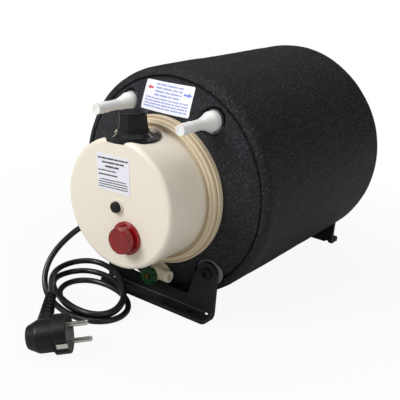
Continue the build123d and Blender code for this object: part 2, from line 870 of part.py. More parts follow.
def hose_connector():
    foot_back = hose_boss_reach + seal_wall
    waist_radius = hose_shoulder_radius + (hose_foot_radius - hose_shoulder_radius) / 4
    profile = [
        (0, hose_boss_reach - boss_radius),
        (hose_thread_radius, hose_boss_reach - boss_radius),
        (hose_thread_radius, foot_back),
        (hose_foot_radius, foot_back),
        (hose_foot_radius, hose_foot_reach + hose_shoulder_radius / 4),
        (waist_radius, (hose_foot_reach + hose_stem_low) / 2),
        (hose_stem_radius, hose_stem_low),
        (hose_stem_radius, hose_tip_reach),
        (0, hose_tip_reach),
    ]
    soft = hose_foot_radius / 5
    body = spun(profile, [0, 0, 0, 0, soft, soft, soft, 0, 0])
    for step in range(hose_barb_count):
        peak = hose_tip_reach - (step + 1) * hose_barb_pitch
        front = hose_tip_reach - step * hose_barb_pitch
        body += spun([(0, peak), (hose_barb_radius, peak), (hose_stem_radius - hole_play, front), (0, front)])
    return body - rod(hose_bore, -boss_radius - 2 * pad_wall, front_reach)


def hose_connector_node(side):
    return level * at(side * hose_side, hose_high, hose_connector())


def seal_ring(reach):
    return tube(hose_foot_radius, hose_thread_radius + hole_play, reach, reach + seal_wall)


def hose_seals():
    ring = seal_ring(hose_boss_reach)
    return level * Compound([at(side * hose_side, hose_high, ring) for side in (-1, 1)])


# Drain valve

def drain_at(piece):
    return level * at(0, -drain_drop, piece)


def drain_body_solid():
    foot = drain_boss_reach + seal_wall
    profile = [
        (0, foot - boss_radius),
        (hose_thread_radius, foot - boss_radius),
        (hose_thread_radius, foot),
        (drain_collar_radius, foot),
        (drain_collar_radius, foot + drain_collar_wall),
        (drain_barrel_radius, foot + drain_collar_wall),
        (drain_barrel_radius, drain_barrel_reach),
        (0, drain_barrel_reach),
    ]
    soft = drain_collar_wall / 4
    return spun(profile, [0, 0, 0, 0, soft, 0, soft / 2, 0])


def drain_seat_reach():
    return drain_boss_reach + seal_wall + drain_collar_wall


def across(radius, middle):
    """A rod along the spout, one spout long, with its middle at this distance."""
    bar = Rot(0, 90, 0) * Cylinder(radius, drain_spout_length)
    return Pos(middle, -drain_spout_reach, 0) * bar


def drain_valve_body():
    body = drain_body_solid()
    spout = across(drain_spout_radius, drain_spout_length / 2)
    mouth = spout.edges().filter_by(GeomType.CIRCLE).sort_by(Axis.X)[-1]
    body += fillet(mouth, drain_spout_radius / 8)
    body -= rod(hose_bore, -boss_radius - pad_wall, drain_seat_reach() + overrun)
    body -= rod(drain_bore, drain_seat_reach(), drain_barrel_reach + overrun)
    spout_way = across(drain_spout_bore, drain_spout_length / 2)
    body -= spout_way + across(drain_spout_bore, drain_spout_length)
    return drain_at(body)


def drain_bonnet():
    front = drain_barrel_reach + drain_bonnet_wall
    body = rod(drain_bonnet_radius, drain_barrel_reach, front)
    body += rod(drain_bore - running_fit, drain_barrel_reach - drain_bonnet_wall, drain_barrel_reach)
    return drain_at(body - rod(drain_spindle_radius + running_fit, 0, front + overrun))


def drain_seal():
    return drain_at(seal_ring(drain_boss_reach))


def plug_back():
    return drain_seat_reach() + drain_plug_play


def drain_plug():
    body = rod(drain_bore - running_fit, plug_back(), plug_back() + drain_plug_length)
    socket = rod(drain_spindle_radius + running_fit, plug_back() + drain_plug_length / 2, front_reach)
    return drain_at(body - socket)


def wheel_back():
    return drain_barrel_reach + drain_bonnet_wall + wheel_gap


def drain_spindle():
    start = plug_back() + drain_plug_length / 2 + drain_plug_play
    return drain_at(rod(drain_spindle_radius, start, wheel_back() + wheel_wall - wheel_dish))


def drain_handwheel():
    front = wheel_back() + wheel_wall
    soft = wheel_wall / 6
    outline = [(0, wheel_back()), (wheel_radius, wheel_back()), (wheel_radius, front), (0, front)]
    body = spun(outline, [0, soft, soft, 0])
    for x, z in ring_places(wheel_lobes, wheel_radius + wheel_scallop / 2, 30.0):
        body -= at(x, z, rod(wheel_scallop, wheel_back() - overrun, front + overrun))
    body -= rod(wheel_radius / 2, front - wheel_dish, front + overrun)
    return drain_at(body - rod(drain_spindle_radius + running_fit, 0, front_reach))


def drain_wheel_screw():
    start = wheel_back() + wheel_wall - wheel_dish
    head = rod(wheel_screw_radius, start, start + wheel_dish + wheel_screw_proud)
    slot = Box(2 * wheel_screw_radius + overrun, wheel_screw_proud, wheel_screw_radius / 3)
    return drain_at(head - Pos(0, -start - wheel_dish - wheel_screw_proud, 0) * slot)


# Feet

def foot_plate():
    """Outline of the upright plate, in the level frame's x and z."""
    side, drop, head = bracket_stud_side, -bracket_stud_drop, bracket_head_radius
    floor = -axis_high
    waist = (bracket_waist, -bracket_rail_drop)
    away = hypot(waist[0] - side, waist[1] - drop)
    lean = asin(head / away)
    toward = Vector(waist[0] - side, waist[1] - drop).normalized()
    turn = 90 - degrees(lean)
    touch = Vector(side, drop) + toward.rotate(Axis.Z, -turn) * head
    outer = side + head
    rise = [
        Line((0, floor), (bracket_half_width, floor)),
        Line((bracket_half_width, floor), (outer, drop)),
        ThreePointArc((outer, drop), (side, drop + head), touch),
        Line(touch, waist),
        Line(waist, (0, -bracket_rail_drop)),
        Line((0, -bracket_rail_drop), (0, floor)),
    ]
    half = make_face(Curve() + rise)
    return half + mirror(half, Plane.YZ)


def foot_bracket():
    """One foot: an upright plate bent into a flange that lies on the floor."""
    front = bracket_inner_reach + bracket_wall
    plate = Pos(0, -bracket_inner_reach, 0) * Rot(90, 0, 0) * extrude(foot_plate(), bracket_wall)
    floor = -axis_high
    bend = [
        (bracket_inner_reach, floor + 2 * bracket_bend_radius),
        (bracket_inner_reach, floor),
        (bracket_flange_reach, floor),
        (bracket_flange_reach, floor + bracket_wall),
        (front, floor + bracket_wall),
        (front, floor + 2 * bracket_bend_radius),
    ]
    outline = FilletPolyline(
        *[(-reach, height) for reach, height in bend],
        radius=[0, bracket_bend_radius, 0, 0, bracket_inner_bend, 0],
        close=True,
    )
    ell = extrude(Plane.YZ * make_face(outline), bracket_half_width, both=True)
    heel = Box(4 * bracket_half_width, bracket_bend_radius, 2 * bracket_bend_radius)
    plate -= Pos(0, -bracket_inner_reach, floor) * heel
    body = plate + ell
    corners = body.edges().filter_by(Axis.Z).group_by(Axis.Y)[0]
    body = fillet(corners, bracket_corner)
    for side in (-1, 1):
        hole_place = Pos(side * bracket_hole_side, -(bracket_flange_reach + front) / 2, floor)
        body -= hole_place * Cylinder(bracket_hole_radius, 4 * bracket_wall)
        notch_side = side * (bracket_half_width - bracket_notch_inset)
        notch_depth = 2 * bracket_wall + bracket_notch_height
        notch = Box(bracket_notch_width, notch_depth, 2 * bracket_notch_height)
        body -= Pos(notch_side, -bracket_inner_reach, floor) * notch
        stud_hole = rod(foot_bolt_radius + hole_play, 0, bracket_flange_reach)
        body -= at(side * bracket_stud_side, -bracket_stud_drop, stud_hole)
    return body


def front_foot():
    return level * foot_bracket()


def rear_foot():
    return rear_level * foot_bracket()


def both_ends(pair):
    return Compound([level * pair, rear_level * pair])


def foot_spacers():
    return both_ends(foot_places(tube(spacer_radius, spacer_bore, spacer_back, bracket_inner_reach)))


def foot_bolts():
    seat = bracket_inner_reach + bracket_wall
    shank = rod(foot_bolt_radius, spacer_back - foot_bolt_depth + hole_play, seat)
    head = rod(foot_bolt_head_radius, seat, seat + foot_bolt_head_height)
    rim = head.edges().filter_by(GeomType.CIRCLE).sort_by(Axis.Y)[0]
    head = fillet(rim, foot_bolt_head_height * 2 / 3)
    socket = hex_rod(2 * foot_bolt_socket, seat + foot_bolt_head_height / 3, seat + 2 * foot_bolt_head_height)
    return both_ends(foot_places(shank + head - socket))


# Gland and cord

def gland_way(piece):
    """Move a piece made along X to the gland's place on the cover's side."""
    return turned * Rot(0, -gland_angle, 0) * Pos(0, -gland_reach, 0) * piece


def radial(radius, start, end):
    return Pos((start + end) / 2, 0, 0) * Rot(0, 90, 0) * Cylinder(radius, end - start)


def gland_seat():
    return cap_radius + gland_boss_proud


def gland_end():
    return gland_seat() + gland_hex_wall + gland_cap_length


def cable_gland():
    seat = gland_seat()
    flat = RegularPolygon(gland_hex_width / 2, 6, major_radius=False)
    hexagon = Pos(seat, 0, 0) * Rot(0, 90, 0) * extrude(flat, gland_hex_wall)
    cap = radial(gland_cap_radius, seat + gland_hex_wall, gland_end())
    rim = cap.edges().filter_by(GeomType.CIRCLE).sort_by(Axis.X)[-1]
    cap = fillet(rim, gland_cap_radius / 3)
    thread = radial(gland_thread_radius, cap_inner_radius - base_wall - gland_nut_wall - overrun, seat)
    way = radial(cord_radius + cord_fit, 0, gland_end() + overrun)
    return gland_way(hexagon + cap + thread - way)


def gland_nut_top():
    """Where the lock nut's face meets the curved wall, seen along the gland."""
    return sqrt(cap_inner_radius**2 - (gland_hex_width / sqrt(3)) ** 2) - hole_play


def gland_nut():
    flat = RegularPolygon(gland_hex_width / 2, 6, major_radius=False)
    nut = Pos(gland_nut_top() - gland_nut_wall, 0, 0) * Rot(0, 90, 0) * extrude(flat, gland_nut_wall)
    return gland_way(nut - radial(gland_thread_radius + running_fit, 0, cap_radius))


def cord_tail():
    """The end of the cord inside the cover, held by the gland."""
    inner = cap_inner_radius - tail_length
    return gland_way(radial(cord_radius, inner, gland_end()))


def block_angle():
    """The terminal block stands between two studs, under the gland."""
    return stud_first_angle + 180 + 180 / stud_count


def terminal_block():
    width = 3 * strap_width
    block = Box(strap_width * 2, strap_width * 2, width)
    for step in (-1, 0, 1):
        well = Rot(90, 0, 0) * Cylinder(screw_head_radius, strap_width)
        block -= Pos(0, -strap_width, step * strap_width) * well
    radial_place = (neck_bore + base_wall + cap_inner_radius) / 2
    lift = base_floor + strap_width
    return turned * Rot(0, -block_angle(), 0) * Pos(radial_place - strap_width / 2, -lift, 0) * block


def terminal_screws():
    screws = []
    radial_place = (neck_bore + base_wall + cap_inner_radius) / 2
    lift = base_floor + 3 * strap_width / 2
    screw = rod(screw_head_radius - hole_play, 0, screw_radius)
    for step in (-1, 0, 1):
        screws.append(Pos(radial_place - strap_width / 2, -lift, step * strap_width) * screw)
    return turned * Rot(0, -block_angle(), 0) * Compound(screws)


def corner_radii(points):
    """The largest arcs that the runs of a route allow."""
    radii = []
    for before, corner, after in zip(points, points[1:], points[2:]):
        first = Vector(corner) - Vector(before)
        second = Vector(after) - Vector(corner)
        half_turn = radians(first.get_angle(second)) / 2
        radii.append(cord_arc_share * min(first.length, second.length) / tan(half_turn))
    return radii


def drop_points():
    """The drop starts where the gland ends and runs on along the gland."""
    start = gland_point(gland_end())
    return [start, gland_point(gland_end() + drop_first_run)] + [Vector(point) for point in drop_route]


def gland_point(radius):
    """A place on the gland's own line, at this distance from the cover's centre."""
    return (turned * Rot(0, -gland_angle, 0) * Pos(radius, -gland_reach, 0)).position


def volume_share(body, route):
    """A swept cord's volume over that of a straight one as long."""
    return round(body.volume / (route.length * pi * cord_radius**2), 4)


def power_cord():
    points = drop_points()
    radii = corner_radii(points)
    print("drop radii", [round(radius, 1) for radius in radii])
    route = FilletPolyline(*points, radius=radii)
    section = Plane(origin=points[0], z_dir=points[1] - points[0]) * Circle(cord_radius)
    body = sweep(section, path=route)
    print("drop length", round(route.length, 1), "volume share", volume_share(body, route))
    return body


def heading(turn, climb):
    return Vector(cos(radians(turn)), sin(radians(turn)), climb).normalized()


def plug_frame():
    """The plug's own frame: X along its cord, Z along its pins."""
    pins = heading(plug_yaw, tan(radians(plug_tilt)))
    level_side = Vector(0, 0, 1).cross(pins).normalized()
    exit_way = level_side.rotate(Axis((0, 0, 0), pins), plug_roll)
    return Plane(origin=plug_place, x_dir=exit_way, z_dir=pins)


def relief_end():
    frame = plug_frame()
    return frame.from_local_coords(Vector(plug_exit_length + relief_length, 0, -plug_exit_depth))


def coil_stations():
    before, start = drop_points()[-2:]
    stations = [(start, (start - before).normalized())]
    stations += [(Vector(x, y, z), heading(turn, climb)) for x, y, z, turn, climb in coil_route]
    stations.append((relief_end(), -plug_frame().x_dir))
    return stations


def biarc(start, start_way, end, end_way):
    """Two tangent arcs between two stations, as (point, way, point) each."""
    run = end - start
    both = run.dot(start_way + end_way)
    square = run.dot(run)
    bend = 2 * (1 - start_way.dot(end_way))
    reach = (sqrt(both**2 + bend * square) - both) / bend
    first = start + start_way * reach
    second = end - end_way * reach
    middle = (first + second) / 2
    return [(start, start_way, middle), (middle, (second - first).normalized(), end)]


def cord_coil():
    stations = coil_stations()
    start, start_way = stations[0]
    end, end_way = stations[-1]
    straight = 2 * cord_radius
    first = Line(start, start + start_way * straight)
    last = Line(end - end_way * straight, end)
    stations[0] = (first @ 1, start_way)
    stations[-1] = (last @ 0, end_way)
    edges = [first]
    for (a, a_way), (b, b_way) in zip(stations, stations[1:]):
        edges += [TangentArc(p, q, tangent=way) for p, way, q in biarc(a, a_way, b, b_way)]
    edges.append(last)
    route = Wire(edges)
    section = Plane(origin=start, z_dir=start_way) * Circle(cord_radius)
    body = sweep(section, path=route)
    print("coil length", round(route.length, 1), "volume share", volume_share(body, route))
    print("coil least gap to itself", round(least_gap(route), 2))
    return body


def least_gap(route):
    """The least clear distance between far apart stretches of the coil."""
    step = cord_radius / 2
    count = int(route.length / step)
    points = [route @ (index / count) for index in range(count + 1)]
    apart = int(8 * cord_radius / step)
    least = route.length
    for index, point in enumerate(points):
        for other in points[index + apart :]:
            least = min(least, (point - other).length)
    return least - 2 * cord_radius


# Plug

def plug_at(piece):
    return plug_frame().location * piece


def plug_housing():
    outline = [
        (0, 0),
        (plug_face_radius, 0),
        (plug_face_radius, -plug_step),
        (plug_back_radius, -plug_step - plug_flat_depth),
        (plug_back_radius, -plug_exit_depth - plug_exit_radius / 4),
        (plug_back_radius * 2 / 3, -plug_depth),
        (0, -plug_depth),
    ]
    rounds = [0, plug_flat_depth / 2, plug_flat_depth / 2, 0, plug_round, plug_round / 2, 0]
    profile = FilletPolyline(*outline, radius=rounds, close=True)
    body = revolve(make_face(Plane.XZ * profile), Axis.Z)
    neck = Plane(origin=(0, 0, -plug_exit_depth), z_dir=(1, 0, 0)) * Circle(plug_exit_radius)
    mouth = Plane(origin=(plug_exit_length, 0, -plug_exit_depth), z_dir=(1, 0, 0))
    mouth *= Circle(relief_low_radius + relief_rib_height)
    body += loft([neck, mouth])
    for side in (-1, 1):
        flat = Box(plug_flat_depth * 2, plug_flat_width, plug_step * 2)
        body -= Pos(side * plug_face_radius, 0, 0) * flat
        pin_hole = Cylinder(plug_pin_radius + running_fit, 2 * plug_pin_root)
        body -= Pos(0, side * plug_pin_spread, 0) * pin_hole
    earth = Pos(plug_earth_offset, 0, 0) * Cylinder(plug_earth_radius, 2 * plug_earth_depth)
    return plug_at(body - earth)


def plug_pins():
    pin = Cylinder(plug_pin_radius, plug_pin_length + plug_pin_root)
    pin = Pos(0, 0, (plug_pin_length - plug_pin_root) / 2) * pin
    tip = pin.edges().filter_by(GeomType.CIRCLE).sort_by(Axis.Z)[-1]
    pin = fillet(tip, plug_pin_radius * 2 / 3)
    return plug_at(Compound([Pos(0, side * plug_pin_spread, 0) * pin for side in (-1, 1)]))


def plug_earth_clips():
    clips = []
    for side in (-1, 1):
        place = plug_face_radius - plug_flat_depth + plug_clip_wall / 2
        strip = Box(plug_clip_wall, plug_clip_width, plug_clip_length)
        clips.append(Pos(side * place, 0, -plug_clip_length / 2) * strip)
    return plug_at(Compound(clips))


def plug_strain_relief():
    start = plug_exit_length
    end = start + relief_length
    cone = Rot(0, 90, 0) * Cone(relief_low_radius, relief_high_radius, relief_length)
    body = Pos((start + end) / 2, 0, -plug_exit_depth) * cone
    pitch = relief_length / relief_ribs
    for step in range(relief_ribs):
        along = pitch * (2 * step + 1) / 2
        taper = (relief_high_radius - relief_low_radius) * along / relief_length
        rib = Cylinder(relief_low_radius + taper + relief_rib_height, pitch * relief_rib_share)
        body += Pos(start + along, 0, -plug_exit_depth) * Rot(0, 90, 0) * rib
    return plug_at(body)


nodes = {
    "tank_shell": tank_shell,
    "cold_inlet_pipe": cold_inlet_pipe,
    "hot_outlet_pipe": hot_outlet_pipe,
    "insulation_jacket": insulation_jacket,
    "front_insulation_pad": front_insulation_pad,
    "rear_insulation_pad": rear_insulation_pad,
    "flange_gasket": flange_gasket,
    "element_flange": element_flange,
    "flange_studs": flange_studs,
    "flange_washers": flange_washers,
    "flange_nuts": flange_nuts,
    "heating_element": heating_element,
    "element_beads": element_beads,
    "element_terminals": element_terminals,
    "thermostat_pocket": thermostat_pocket,
    "thermostat_sensor": thermostat_sensor,
    "thermostat_body": thermostat_body,
    "thermostat_screws": thermostat_screws,
    "thermostat_spindle": thermostat_spindle,
    "thermostat_knob": thermostat_knob,
    "cover_base": cover_base,
    "cover_cap": cover_cap,
    "reset_button": reset_button,
    "safety_cutout": safety_cutout,
    "pilot_lamp_bezel": pilot_lamp_bezel,
    "pilot_lamp_lens": pilot_lamp_lens,
    "pilot_lamp_body": pilot_lamp_body,
    "pilot_lamp_nut": pilot_lamp_nut,
    "neon_bulb": neon_bulb,
    "hose_seals": hose_seals,
    "drain_valve_body": drain_valve_body,
    "drain_bonnet": drain_bonnet,
    "drain_seal": drain_seal,
    "drain_plug": drain_plug,
    "drain_spindle": drain_spindle,
    "drain_handwheel": drain_handwheel,
    "drain_wheel_screw": drain_wheel_screw,
    "front_foot": front_foot,
    "rear_foot": rear_foot,
    "foot_spacers": foot_spacers,
    "foot_bolts": foot_bolts,
    "cable_gland": cable_gland,
    "gland_nut": gland_nut,
    "cord_tail": cord_tail,
    "terminal_block": terminal_block,
    "terminal_screws": terminal_screws,
    "power_cord": power_cord,
    "cord_coil": cord_coil,
    "plug_housing": plug_housing,
    "plug_pins": plug_pins,
    "plug_earth_clips": plug_earth_clips,
    "plug_strain_relief": plug_strain_relief,
}

os.makedirs("parts", exist_ok=True)
export_step(hose_connector_node(-1), "parts/cold_hose_connector.step")
export_step(hose_connector_node(1), "parts/hot_hose_connector.step")
for name, make in nodes.items():
    export_step(make(), f"parts/{name}.step")
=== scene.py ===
"""Looks of a caravan water heater: foam-jacketed tank on two bent feet, with a moulded
cover that carries the thermostat knob, reset button and pilot lamp, and a coiled lead."""

import math

import bmesh
import bpy
from bpy.props import FloatProperty, FloatVectorProperty, PointerProperty
from mathutils import Matrix, Vector, noise


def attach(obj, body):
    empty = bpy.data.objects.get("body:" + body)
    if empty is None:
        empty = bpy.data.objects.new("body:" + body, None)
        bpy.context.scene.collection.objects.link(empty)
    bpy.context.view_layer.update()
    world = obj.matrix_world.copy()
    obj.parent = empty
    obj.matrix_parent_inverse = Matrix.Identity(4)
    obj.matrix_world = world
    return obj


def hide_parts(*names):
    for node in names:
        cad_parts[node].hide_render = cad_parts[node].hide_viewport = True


bl_info = {
    "name": "Caravan water heater",
    "version": (1, 0, 0),
    "blender": (4, 5, 0),
    "location": "View3D > Sidebar > Heater",
    "description": "Finishes, foam, labels and lead of a small insulated water heater",
    "category": "Object",
}

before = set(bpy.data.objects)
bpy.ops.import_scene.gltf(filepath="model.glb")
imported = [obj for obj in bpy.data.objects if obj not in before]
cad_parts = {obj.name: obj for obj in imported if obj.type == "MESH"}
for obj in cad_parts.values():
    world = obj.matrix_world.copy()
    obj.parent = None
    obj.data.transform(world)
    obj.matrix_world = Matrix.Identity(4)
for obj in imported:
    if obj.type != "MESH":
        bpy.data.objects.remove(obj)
MM = 0.001

# The tank's level frame and the cover's own frame, turned and dropped on it
TANK_AXIS_Z = 126 * MM
FRONT_Y = -92 * MM
REAR_Y = 158 * MM
COVER_TURN = math.radians(4)
COVER_AXIS_Z = 124.2 * MM
COVER_FACE = 79.2 * MM
PAD_DOME = 248 * MM
PAD_RADIUS = 110 * MM
JACKET_INNER = 110.3 * MM
JACKET_OUTER = 119.9 * MM
KNOB_DEPTH = 53.6 * MM
HOSE_SIDE = 51.5 * MM
HOSE_HIGH = 77.5 * MM
HOSE_REACH = 55.5 * MM
HOSE_BORE = 3.35 * MM

# The cord's route, as in the part's source, in metres: the gland's end, 14 mm on
# along the gland, then the points of the drop
GLAND_END = (-0.06602, -0.142, 0.07797)
DROP_POINTS = [
    GLAND_END,
    (-0.07749, -0.142, 0.06994),
    (-0.0900, -0.1455, 0.0575),
    (-0.0995, -0.1525, 0.0440),
    (-0.1035, -0.1610, 0.0310),
    (-0.1010, -0.1700, 0.0195),
    (-0.0940, -0.1770, 0.0100),
    (-0.0840, -0.1825, 0.0044),
    (-0.0725, -0.1870, 0.0033),
]
# Quarter-turn places of the coil: x, y, z, heading in degrees and climb per length
COIL_PLACES = [
    (-0.0725, -0.1870, 0.0033, -21.4, -0.09),
    (-0.0380, -0.1965, 0.0033, 0.0, 0.0),
    (0.0040, -0.1650, 0.0033, 90.0, 0.0),
    (-0.0560, -0.1225, 0.0033, 180.0, 0.0),
    (-0.0895, -0.1500, 0.0033, 270.0, 0.0),
    (-0.0340, -0.1860, 0.0033, 360.0, 0.0),
    (-0.0070, -0.1630, 0.0039, 450.0, 0.04),
    (-0.0270, -0.1285, 0.0106, 500.0, 0.02),
    (-0.0670, -0.1160, 0.0098, 540.0, -0.02),
    (-0.1030, -0.1400, 0.0070, 628.0, 0.0),
    (-0.0825, -0.1754, 0.0104, 680.0, 0.0),
    (-0.0350, -0.1912, 0.0088, 720.0, 0.0),
    (-0.0015, -0.1640, 0.0099, 810.0, 0.05),
    (-0.0240, -0.1310, 0.0180, 858.0, 0.03),
    (-0.0740, -0.1085, 0.0180, 900.0, 0.0),
    (-0.1040, -0.1430, 0.0173, 988.0, 0.0),
    (-0.0880, -0.1720, 0.0185, 1030.0, 0.22),
    (-0.04809, -0.21102, 0.02719, 1028.8, -0.166),
]
COIL_STEP_DEGREES = 24.0
LOWEST_CORD = 3.3 * MM
EVENING_PASSES = 6

# Most of a noise texture's values lie between these
NOISE_RANGE = (0.3, 0.7)


def linear(code):
    """The linear colour of an sRGB hex value such as E8DFCB."""
    channels = [int(code[place : place + 2], 16) / 255 for place in (0, 2, 4)]
    return tuple(c / 12.92 if c <= 0.04045 else ((c + 0.055) / 1.055) ** 2.4 for c in channels)


def colour(name, description, code):
    """A colour that a user may change, with its default."""
    return FloatVectorProperty(
        name=name,
        description=description,
        subtype="COLOR",
        size=3,
        min=0,
        max=1,
        default=linear(code),
    )


def size(name, description, millimetres):
    """A length that a user may change, with its default."""
    return FloatProperty(
        name=name,
        description=description,
        unit="LENGTH",
        min=0,
        default=millimetres * MM,
        precision=4,
    )


class HeaterColours(bpy.types.PropertyGroup):
    foam: colour("Foam jacket", "Charcoal of the foam round the tank", "17181B")
    pad: colour("Foam pads", "Slightly bluer charcoal of the end pads", "1B1D22")
    cover: colour("Cover", "Cream of the moulded cover", "E9E1D1")
    # The ring's tan is partly its own tint and partly painted shade, darker than the cover's cream
    ring: colour("Base ring", "Tan of the stepped ring behind the cover", "D6C5A8")
    knob: colour("Knob", "Black of the thermostat knob", "111214")
    lens: colour("Lamp lens", "Red of the pilot lamp's lens", "C40A1C")
    bezel: colour("Lamp bezel", "Red of the flange round the lens", "8E0F1A")
    hose: colour("Hose connectors", "Milky natural plastic of the stems", "ECECEA")
    wheel: colour("Hand wheel", "Green of the drain valve's wheel", "0A3A18")
    feet: colour("Feet", "Black of the bent steel feet", "0D0D0E")
    cord: colour("Lead", "Black of the lead and its plug", "0F1012")
    label: colour("Labels", "Lavender white of the two printed labels", "E7E8F0")
    hot: colour("Hot arrow", "Red of the hot water arrow", "C8303C")
    cold: colour("Cold arrow", "Violet blue of the cold water arrow", "6F7BD0")


class HeaterSizes(bpy.types.PropertyGroup):
    cord_diameter: size("Lead diameter", "Outer diameter of the lead", 6.2)
    foam_bead: size("Foam bead", "Width of one bead of the moulded foam", 1.8)
    label_wall: size("Label thickness", "Thickness of the printed labels", 0.25)
    undulation: size("Jacket undulation", "How far the foam's skin rises and falls", 0.7)


# Materials


def add_node(tree, kind, sockets=(), **settings):
    """Add a node; sockets pairs an input's name or number with a value or another output, or
    lists the first inputs in their order."""
    node = tree.nodes.new(kind)
    for name, value in settings.items():
        setattr(node, name, value)
    pairs = sockets.items() if isinstance(sockets, dict) else enumerate(sockets)
    for name, value in pairs:
        if isinstance(value, bpy.types.NodeSocket):
            tree.links.new(value, node.inputs[name])
        else:
            node.inputs[name].default_value = value
    return node


def blank_material(name):
    """A material with nothing but its output, and the place on the object in metres."""
    material = bpy.data.materials.new(name)
    material.use_nodes = True
    tree = material.node_tree
    tree.nodes.clear()
    output = add_node(tree, "ShaderNodeOutputMaterial")
    place = add_node(tree, "ShaderNodeTexCoord").outputs["Object"]
    return material, tree, output, place


def surfaced(material, tree, output, sockets):
    """The material with one principled surface of these settings."""
    surface = add_node(tree, "ShaderNodeBsdfPrincipled", sockets)
    tree.links.new(surface.outputs[0], output.inputs["Surface"])
    return material


def ranged(tree, value, start, end, low, high):
    """A number moved from the range start to end into the range low to high."""
    return add_node(tree, "ShaderNodeMapRange", (value, start, end, low, high)).outputs[0]


def blend(tree, share, below, above):
    """A colour between two others, each of them a plain colour or a socket."""
    mix = add_node(tree, "ShaderNodeMix", {0: share, 6: below, 7: above}, data_type="RGBA")
    return mix.outputs[2]


def scaled(rgb, factor):
    """The colour made darker or lighter, with the alpha that a socket wants."""
    return (*(min(1, channel * factor) for channel in rgb), 1)


def finish(name, rgb, roughness, grain_mm, depth_mm, spread=0.06, mottle_mm=40, **shader):
    """A surface of one colour with a fine grain in its relief and gloss, and slow patches of
    handling over it. The grain's size and depth are in real millimetres, and spread is the
    share by which the colour gets darker and lighter."""
    material, tree, output, place = blank_material(name)
    grain = add_node(
        tree, "ShaderNodeTexNoise", {"Vector": place, "Scale": 1 / (grain_mm * MM), "Detail": 3}
    ).outputs[0]
    patch = add_node(
        tree, "ShaderNodeTexNoise", {"Vector": place, "Scale": 1 / (mottle_mm * MM), "Detail": 2}
    ).outputs[0]
    both = add_node(tree, "ShaderNodeMath", (grain, patch), operation="ADD").outputs[0]
    share = ranged(tree, both, 0.7, 1.3, 0, 1)
    base = blend(tree, share, scaled(rgb, 1 - spread), scaled(rgb, 1 + spread))
    gloss = ranged(tree, patch, *NOISE_RANGE, roughness * 0.85, min(1, roughness * 1.15))
    relief = add_node(
        tree, "ShaderNodeBump", {"Strength": 0.6, "Distance": depth_mm * MM, "Height": grain}
    ).outputs[0]
    sockets = {"Base Color": base, "Roughness": gloss, "Normal": relief, **shader}
    return surfaced(material, tree, output, sockets)


def brushed(name, rgb, roughness, along=(1, 1, 12), line_mm=0.6, depth_mm=0.02, **shader):
    """Bare or plated metal: fine lines drawn out along one axis in its relief and gloss."""
    material, tree, output, place = blank_material(name)
    drawn = add_node(tree, "ShaderNodeMapping", {"Vector": place, "Scale": along})
    lines = add_node(
        tree,
        "ShaderNodeTexNoise",
        {"Vector": drawn.outputs[0], "Scale": 1 / (line_mm * MM), "Detail": 2},
    ).outputs[0]
    share = ranged(tree, lines, *NOISE_RANGE, 0, 1)
    base = blend(tree, share, scaled(rgb, 0.88), scaled(rgb, 1.05))
    gloss = ranged(tree, lines, *NOISE_RANGE, roughness * 0.8, min(1, roughness * 1.3))
    relief = add_node(
        tree, "ShaderNodeBump", {"Strength": 0.5, "Distance": depth_mm * MM, "Height": lines}
    ).outputs[0]
    metal = {"Base Color": base, "Roughness": gloss, "Metallic": 1.0, "Normal": relief, **shader}
    return surfaced(material, tree, output, metal)


def foam_material(name, rgb, bead_mm):
    """Closed-cell polyethylene foam, cut and skinned: matt charcoal in which the beads show as
    a pebbled relief, with a painted highlight as a pale glint on some beads and painted
    shade as a dark line between them. The beads are drawn somewhat coarser than such
    foam's, so that they show from the camera's place."""
    material, tree, output, place = blank_material(name)
    beads = {"Vector": place, "Scale": 1 / (bead_mm * MM)}
    cells = add_node(tree, "ShaderNodeTexVoronoi", beads)
    fleck = add_node(
        tree, "ShaderNodeTexNoise", {"Vector": place, "Scale": 2.2 / (bead_mm * MM), "Detail": 4}
    ).outputs[0]
    patch = add_node(
        tree, "ShaderNodeTexNoise", {"Vector": place, "Scale": 1 / (28 * MM), "Detail": 3}
    ).outputs[0]
    edge = ranged(tree, cells.outputs["Distance"], 0.15, 0.75, 1, 0)
    lit = ranged(tree, cells.outputs["Color"], 0.6, 0.85, 0, 1)
    worn = ranged(tree, patch, *NOISE_RANGE, 0, 1)
    dark = blend(tree, worn, scaled(rgb, 0.8), scaled(rgb, 1.15))
    # Painted highlight: some beads get a pale glint in the base colour, six times the foam's colour
    painted_glints = blend(tree, lit, dark, scaled(rgb, 6))
    height = add_node(tree, "ShaderNodeMath", (edge, fleck), operation="ADD").outputs[0]
    relief = add_node(
        tree, "ShaderNodeBump", {"Strength": 0.9, "Distance": 0.5 * MM, "Height": height}
    ).outputs[0]
    sockets = {
        # Painted shade: the base colour falls to a dark line between the beads, while the same mask
        # also raises each bead in the relief
        "Base Color": blend(tree, edge, scaled(rgb, 0.4), painted_glints),
        "Roughness": ranged(tree, fleck, *NOISE_RANGE, 0.42, 0.75),
        "Normal": relief,
        "IOR": 1.5,
        "Specular IOR Level": 0.35,
    }
    return surfaced(material, tree, output, sockets)


def dress(nodes, material):
    """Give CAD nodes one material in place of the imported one."""
    for name in nodes:
        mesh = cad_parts[name].data
        if not mesh.materials:
            mesh.materials.append(material)
        for index in range(len(mesh.materials)):
            mesh.materials[index] = material


# Meshes


def piece_from(name, mesh, material, body="heater", smooth=True):
    """A new piece of the object that rides on a CAD body."""
    piece = bpy.data.objects.new(name, mesh)
    bpy.context.scene.collection.objects.link(piece)
    mesh.materials.clear()
    mesh.materials.append(material)
    if smooth:
        mesh.shade_smooth()
    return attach(piece, body)


def rounded_outline(points, radius, steps=5):
    """An outline whose corners are rounded, as points in a plane."""
    outline = []
    count = len(points)
    for index in range(count):
        before, corner, after = (Vector(points[(index + k) % count]) for k in (-1, 0, 1))
        first, last = (before - corner).normalized(), (after - corner).normalized()
        for step in range(steps + 1):
            share = step / steps
            start, end = corner + first * radius, corner + last * radius
            outline.append(start.lerp(corner, share).lerp(corner.lerp(end, share), share))
    return outline


